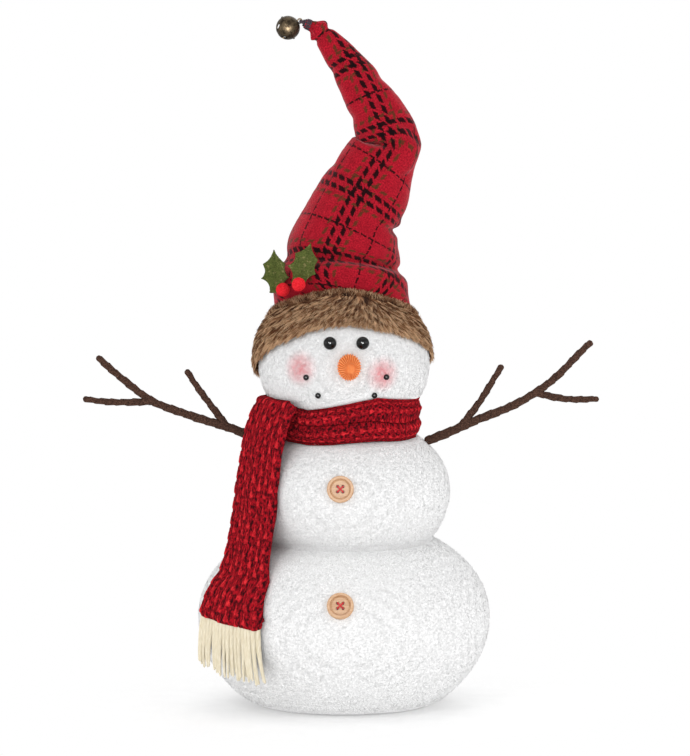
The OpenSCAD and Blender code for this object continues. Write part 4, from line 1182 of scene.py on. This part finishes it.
def holly_leaf(name, node, material):
    piece = copy_of(name, node)
    shape(piece, "REMESH", mode="VOXEL", voxel_size=0.55 * MM)
    shape(piece, "SMOOTH", factor=0.5, iterations=3)
    co = points(piece)
    middle = co.mean(0)
    flat, wide, long = np.linalg.eigh(np.cov((co - middle).T))[1].T
    if flat @ (middle / MM - HAT_BASE) < 0:
        flat = -flat
    x, y = (co - middle) @ wide / MM, (co - middle) @ long / MM
    rib = -0.7 * bump(x / 0.9)
    veins = -0.25 * np.maximum(0, np.cos((y * np.sign(long[2]) - np.abs(x) * 0.8) * 2 * np.pi / 5.5)) ** 6
    curl = 0.016 * x * x + 0.006 * y * y - 0.8 + 0.5 * np.sin(y / 4) * np.abs(x) / 8
    move_points(piece, co + flat * ((rib + veins + curl) * MM)[:, None])
    lumps(piece, 1.6, 0.3)
    return settle(piece, material, "body", "felt_green", node)


BERRY_R = 5.15


def berries(material):
    lo, hi = (np.array(p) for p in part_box("holly_berries"))
    co = points(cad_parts["holly_berries"])
    split = co[:, 0] < (lo[0] + hi[0]) / 2
    made = []
    for i, part in enumerate((co[split], co[~split])):
        centre = (part.min(0) + part.max(0)) / 2
        bpy.ops.object.select_all(action="DESELECT")
        bpy.ops.mesh.primitive_ico_sphere_add(subdivisions=5, radius=BERRY_R * MM, location=tuple(centre))
        berry = bpy.context.object
        bpy.ops.object.transform_apply(location=True, rotation=True, scale=True)
        berry.name = berry.data.name = f"berry_{i}"
        lumps(berry, 2.5, 0.5)
        lumps(berry, 0.8, 0.35)
        made.append(berry)
    piece = joined("holly_berry_felt", made)
    return settle(piece, material, "body", "felt_red", "holly_berries")


# Thread at the bell: rounds and pitch of the binding, rounds and radius of the loop
BINDING_ROUNDS = 5.4
BINDING_PITCH = 1.28
LOOP_ROUNDS = 3
LOOP_R = 1.5


def tip_binding(material):
    side = square_to(TIP_DIR)
    up = np.cross(side, TIP_DIR)
    n = np.linspace(0, BINDING_ROUNDS, 220)[:, None]
    a = 2 * np.pi * n
    far = 0.6 + BINDING_PITCH * n
    round_r = mix(GATHER_R + 0.3, 1.7, smooth((far - 3.6) / 4))
    path = TIP_BASE + TIP_DIR * far + round_r * (np.cos(a) * up + np.sin(a) * side)
    piece = twisted("tip_binding_thread", path, 0.74, 2.2, 8, 420)
    return settle(piece, material, "hat_tip", "dark_thread", "tip_binding")


def bell_loop(material):
    lo, hi = (np.array(p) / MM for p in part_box("bell_tie"))
    centre = (lo + hi) / 2
    a = np.linspace(0, 2 * np.pi, 60)[:, None]
    across = np.cross(TIP_DIR, np.array([0, 1.0, 0]))
    rounds = []
    for i in range(LOOP_ROUNDS):
        lean = 0.5 * (i - 1)
        turned = np.array([0, math.cos(lean), 0]) + across * math.sin(lean)
        path = centre + LOOP_R * (np.cos(a) * TIP_DIR + np.sin(a) * turned)
        rounds.append(twisted(f"bell_loop_{i}", path, 0.6, 1.8, 8, 70))
    piece = joined("bell_loop_thread", rounds)
    return settle(piece, material, "hat_tip", "dark_thread", "bell_tie")


# Face

NOSE_L = 20.0
NOSE_D = 17.8
# Radius over the ribs, which stand a little prouder than in the part's source
NOSE_R = 9.0
NOSE_TALL = 1.14
NOSE_RIBS = 28
NOSE_GRID = (224, 44)
# Angle to the right of the front, droop, height over the girth of the head and depth in it
NOSE_TURN = 3.4
NOSE_DROOP = -2
NOSE_RISE = 5.0
NOSE_SINK = 1.5
# Share of the nose's length and of its radius, from the root to the tip
NOSE_STOPS = np.array([[0, 0.0], [0, 0.8], [0.02, 0.96], [0.1, 1], [0.3, 0.93], [0.5, 0.82], [0.7, 0.66],
                       [0.85, 0.49], [0.94, 0.32], [0.985, 0.16], [1, 0.0]])


def nose(material):
    turn, droop = NOSE_TURN * DEG, NOSE_DROOP * DEG
    d = np.array([math.sin(turn) * math.cos(droop), -math.cos(turn) * math.cos(droop), -math.sin(droop)])
    root = ball_point(HEAD, turn, np.array(HEAD[2] + NOSE_RISE)) + d * (SEAT_GAP - NOSE_SINK)
    e = unit(np.cross(d, np.array([0, 0, 1.0])))
    f = np.cross(d, e)
    run = run_of(NOSE_STOPS * [NOSE_L, NOSE_D / 2])

    def groove(u, share):
        return np.cos(NOSE_RIBS * np.pi * u) ** 2 * smooth((share - 0.22) / 0.3)

    def profile(v):
        far, share = [np.interp(v * run[-1], run, NOSE_STOPS[:, k]) for k in (0, 1)]
        return far * NOSE_L, share

    def place(u, v):
        far, share = profile(v)
        r = NOSE_R * share - groove(u, share) - 0.18 * np.sin(far * 2.1) * share
        return ring(root + d * far[:, None], r, 2 * np.pi * u, e, NOSE_TALL * f)

    piece = laid("nose_carrot", *NOSE_GRID, place)
    u, v = grid_shares(*NOSE_GRID)
    share = profile(v)[1]
    # Grooves between the ribs, which the carrot's finish paints darker as shade
    set_value(piece, "groove", groove(u, share))
    # The drooping tip, which the carrot's finish paints darker as shade
    set_value(piece, "tip", 0.75 * smooth((0.6 - share) / 0.4) * (v > 0.5))
    weld(piece)
    return settle(piece, material, "body", "nose_orange", "nose")


# Arms

# Shoulder on the right, and from it the stem's three points and the ends of the outer and the inner twig
SHOULDER = (63.5, 3, 197.649)
TWIGS = {-1: [(23, 10), (80, 30), (122, 64), (132.5, 32), (55, 54)],
         1: [(24, 10.5), (80, 36), (122.5, 75.5), (128, 31.5), (55.5, 57.5)]}


def run_through(p, steps):
    """Smooth run through points"""
    made = []
    for i in range(len(p) - 1):
        a, b, c, d = p[max(0, i - 1)], p[i], p[i + 1], p[min(len(p) - 1, i + 2)]
        t = np.linspace(0, 1, steps, endpoint=False)[:, None]
        made.append(0.5 * (2 * b + (c - a) * t + (2 * a - 5 * b + 4 * c - d) * t ** 2
                           + (3 * b - a - 3 * c + d) * t ** 3))
    return np.concatenate(made + [p[-1:]])


# Length of a lap of the tape, points round a twig, and thickness of stem and twig from root to tip
LAP = 8.2
TWIG_SIDES = 20
STEM_D = (7.1, 5.0)
TWIG_D = (5.6, 4.4)
# Length of the stem inside the shoulder, and sag of the twigs
STEM_ROOT = 3.2
TWIG_SAG = 2.0


def wrapped_twig(name, path, thick, thin, phase=0.0):
    """A wire wound with crepe tape, lapped in a long screw"""
    far = run_of(path)
    rows = int(far[-1] / 0.75)

    def screw(u, v):
        return (v * far[-1] / LAP + u + phase + 0.07 * np.sin(v * far[-1] / 5.3)) % 1

    def place(u, v):
        s = v * far[-1]
        d = unit(sample(headings(path, far), far, s))
        e = square_to(d)
        q = screw(u, v)
        body = mix(thick, thin, v) / 2
        knots = 0.22 * np.sin(s / 7.1 + 2 * np.pi * u) + 0.15 * np.sin(s / 3.1 + 4 * np.pi * u)
        end = np.sqrt(np.clip((1 - (1 - np.minimum(v, 1 - v) * far[-1] / 2.6).clip(0) ** 2), 0, 1))
        r = (body - 0.2 + 0.65 * q ** 1.5 * smooth((1 - q) / 0.12) + knots) * end
        return ring(sample(path, far, s), r, 2 * np.pi * u, e, np.cross(d, e))

    piece = laid(name, TWIG_SIDES, rows, place)
    q = screw(*grid_shares(TWIG_SIDES, rows))
    # The step between laps, which the twig's finish paints darker as shade
    set_value(piece, "lap_step_shade", np.maximum(smooth((0.16 - q) / 0.16), smooth((q - 0.93) / 0.07)))
    weld(piece)
    return piece


def arm(side, material):
    word = "left" if side < 0 else "right"
    shoulder = np.array(SHOULDER) * np.array([side, 1, 1])
    p = [shoulder] + [shoulder + np.array([side * x, 0, z]) for x, z in TWIGS[side]]
    stem = run_through(np.array(p[:4]), 14)
    first = unit(stem[1] - stem[0])
    stem = np.concatenate([[stem[0] - first * STEM_ROOT], stem])
    made = [wrapped_twig(word + "_stem", stem, *STEM_D)]
    for i, (fork, tip) in enumerate(((p[1], p[5]), (p[2], p[4]))):
        t = np.linspace(0, 1, 30)[:, None]
        path = mix(fork, tip, t) - np.array([0, 0, TWIG_SAG]) * np.sin(np.pi * t)
        made.append(wrapped_twig(f"{word}_twig_{i}", path, *TWIG_D, phase=0.3 * i))
    piece = joined(word + "_arm_twigs", made)
    nodes = [f"{word}_arm_{n}" for n in ("stem", "inner_twig", "outer_twig", "wires")]
    return settle(piece, material, word + "_arm", "twig_brown", *nodes)


# The figure

def above_scarf(co):
    return (co[:, 2] > wrap_top(np.arctan2(co[:, 0], -co[:, 1])) + 1.5) & (co[:, 2] < 300)


# Each ball: its name, shape, fineness, the hidden nodes it stands for, and its parts of the pile with their
# names, numbers of curls, seeds and reaches
FLEECE = (
    ("lower", LOWER, 5.5, ("lower_stuffing", "base_panel", "base_board", "weight_bag"),
     (("_front", 45000, 21, lambda co: (co[:, 1] < 0) & (co[:, 2] < 124.8)),
      ("_back", 40000, 22, lambda co: (co[:, 1] >= 0) & (co[:, 2] < 124.8)))),
    ("upper", UPPER, 4.2, ("upper_stuffing", "shoulder_wire"),
     (("", 45000, 23, lambda co: (co[:, 2] > 125.2) & (co[:, 2] < 204)),)),
    ("head", HEAD, 3.8, ("head_stuffing",), (("", 40000, 24, above_scarf),)),
)
for word, ball, voxel, hidden, pile in FLEECE:
    white = fleece("fleece_" + word, BLUSHES if word == "head" else ())
    skin = fleece_ball(word + "_fleece", ball, word + "_skin", voxel, white, *hidden)
    for part, count, seed, reach in pile:
        fleece_fuzz(word + "_fuzz" + part, skin, ball, count, seed, reach, white)

scarf_knit = knit_red()
tail = scarf_tail(scarf_knit)
wrap = scarf_wrap(scarf_knit)
fringe = scarf_fringe(cream_yarn())
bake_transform(tail)
under_fur(fur_roots())
hairs = fur_hairs()
fur_pile("fur_front", hairs, 45000, False, 11)
fur_pile("fur_back", hairs, 40000, True, 12)
hat(plaid_red())
leaf_green = felt("felt_green", "#39431d", "#5f6835", "#a89c6a")
for leaf in ("holly_leaf_front", "holly_leaf_side"):
    holly_leaf(leaf + "_felt", leaf, leaf_green)
berries(felt("felt_red", "#c4101c", "#e8303a"))
dark_thread = sewing_thread("dark_thread", "#241820", "#4c3a46")
tip_binding(dark_thread)
bell_loop(dark_thread)
nose(carrot_orange())
bark = twig_brown()
for side in (-1, 1):
    arm(side, bark)

wood = button_wood()
red_thread = sewing_thread("red_thread", "#a8101c", "#e03a3c")
bronze = aged_bronze()
kept_nodes = {
    "lower_button": wood, "upper_button": wood, "lower_button_thread": red_thread,
    "upper_button_thread": red_thread, "left_eye": glass_bead("eye_black", 0.04),
    "right_eye": glass_bead("eye_black_right", 0.04), "mouth_beads": glass_bead("mouth_black", 0.3),
    "bell_top": bronze, "bell_bottom": bronze, "bell_pea": bronze,
}
for kept, material in kept_nodes.items():
    wear(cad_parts[kept], material)


# Studio

WHITE = (1, 1, 1, 1)


def light_mix(tree, plain, seen):
    """Light that is plain to the object, and as seen to the camera, to gloss and through glass"""
    share = add_node(tree, "LightPath", {}, "Is Camera Ray")
    rays = share.node.outputs
    for ray in ("Is Glossy Ray", "Is Transmission Ray"):
        share = add_node(tree, "Math", {0: share, 1: rays[ray]}, operation="MAXIMUM")
    return add_node(tree, "MixShader", {0: share, 1: plain, 2: seen})


def studio_world():
    world = bpy.data.worlds.new("studio")
    bpy.context.scene.world = world
    world.use_nodes = True
    tree = world.node_tree
    plain = tree.nodes["Background"]
    plain.inputs["Color"].default_value = WHITE
    plain.inputs["Strength"].default_value = 0.82
    white = add_node(tree, "Background", {"Color": WHITE, "Strength": 1.0})
    out = tree.nodes["World Output"]
    tree.links.new(light_mix(tree, plain.outputs[0], white), out.inputs["Surface"])


def studio_floor():
    bpy.ops.object.select_all(action="DESELECT")
    bpy.ops.mesh.primitive_plane_add(size=6, location=(0, 0, -0.0004))
    floor = bpy.context.object
    floor.name = "studio_floor"
    bpy.ops.object.transform_apply(location=True, rotation=True, scale=True)
    made = Finish("studio_floor", Roughness=0.9, Specular_IOR_Level=0.1)
    where = made.places()
    made.paint(made.tones(made.noise(where, 40, 2), 0.4, 0.6, "#f4f4f4", "#f7f7f7"))
    plain = made.shader.outputs[0]
    # The floor fades to white away from the figure
    far = made.node("VectorMath", {0: where}, 1, operation="LENGTH")
    white = made.node("Emission", {"Color": WHITE, "Strength": 1.0})
    seen = made.node("MixShader", {0: made.band(far, 0.05, 0.22, 0.12, 1.0), 1: plain, 2: white})
    # The floor glows a little, so that the underside of the figure isn't dark
    glow = made.node("Emission", {"Color": WHITE, "Strength": 0.22})
    bright = made.node("AddShader", {0: plain, 1: glow})
    out = made.tree.nodes["Material Output"]
    made.tree.links.new(light_mix(made.tree, bright, seen), out.inputs["Surface"])
    wear(floor, made.material)


def lamp(name, place, aim, size, power, glint=False):
    """A round soft lamp, aimed at this height on the middle line; a glint lamp shows only in shiny things"""
    data = bpy.data.lights.new(name, "AREA")
    data.shape = "DISK"
    data.size = size
    data.energy = power
    lit = put(name, data)
    lit.location = place
    look = unit(np.array([0, 0, aim]) - np.array(place))
    lit.visible_diffuse = not glint
    lit.rotation_euler = (math.acos(-look[2]), 0, math.atan2(-look[0], look[1]))


def camera():
    tilt, distance = 7.5 * DEG, 9.0
    aim = np.array([0.00075, 0, 0.2455])
    data = bpy.data.cameras.new("photo_view")
    data.sensor_width = 36
    data.lens = 571.5
    made = put("photo_view", data)
    made.location = aim + distance * np.array([0, -math.cos(tilt), math.sin(tilt)])
    made.rotation_euler = (math.pi / 2 - tilt, 0, 0)
    bpy.context.scene.camera = made


studio_world()
studio_floor()
lamp("key", (-0.9, -1.5, 1.3), 0.25, 0.9, 5)
lamp("fill", (1.2, -1.2, 0.8), 0.25, 1.0, 4.5)
lamp("low", (0, -1.9, 0.2), 0.12, 1.2, 1)
lamp("left_side", (-1.7, -0.4, 0.55), 0.15, 1.0, 3.4)
lamp("right_side", (1.7, -0.4, 0.55), 0.15, 1.0, 3.4)
lamp("top", (0, 0.1, 1.7), 0.2, 1.2, 3)
lamp("back", (0.3, 1.4, 1.0), 0.3, 1.0, 4.5)
lamp("left_glint", (-0.55, -1.5, 0.75), 0.28, 0.5, 25, glint=True)
lamp("right_glint", (0.1, -1.7, 0.5), 0.28, 0.8, 80, glint=True)
camera()
bpy.context.scene.view_settings.view_transform = "Standard"
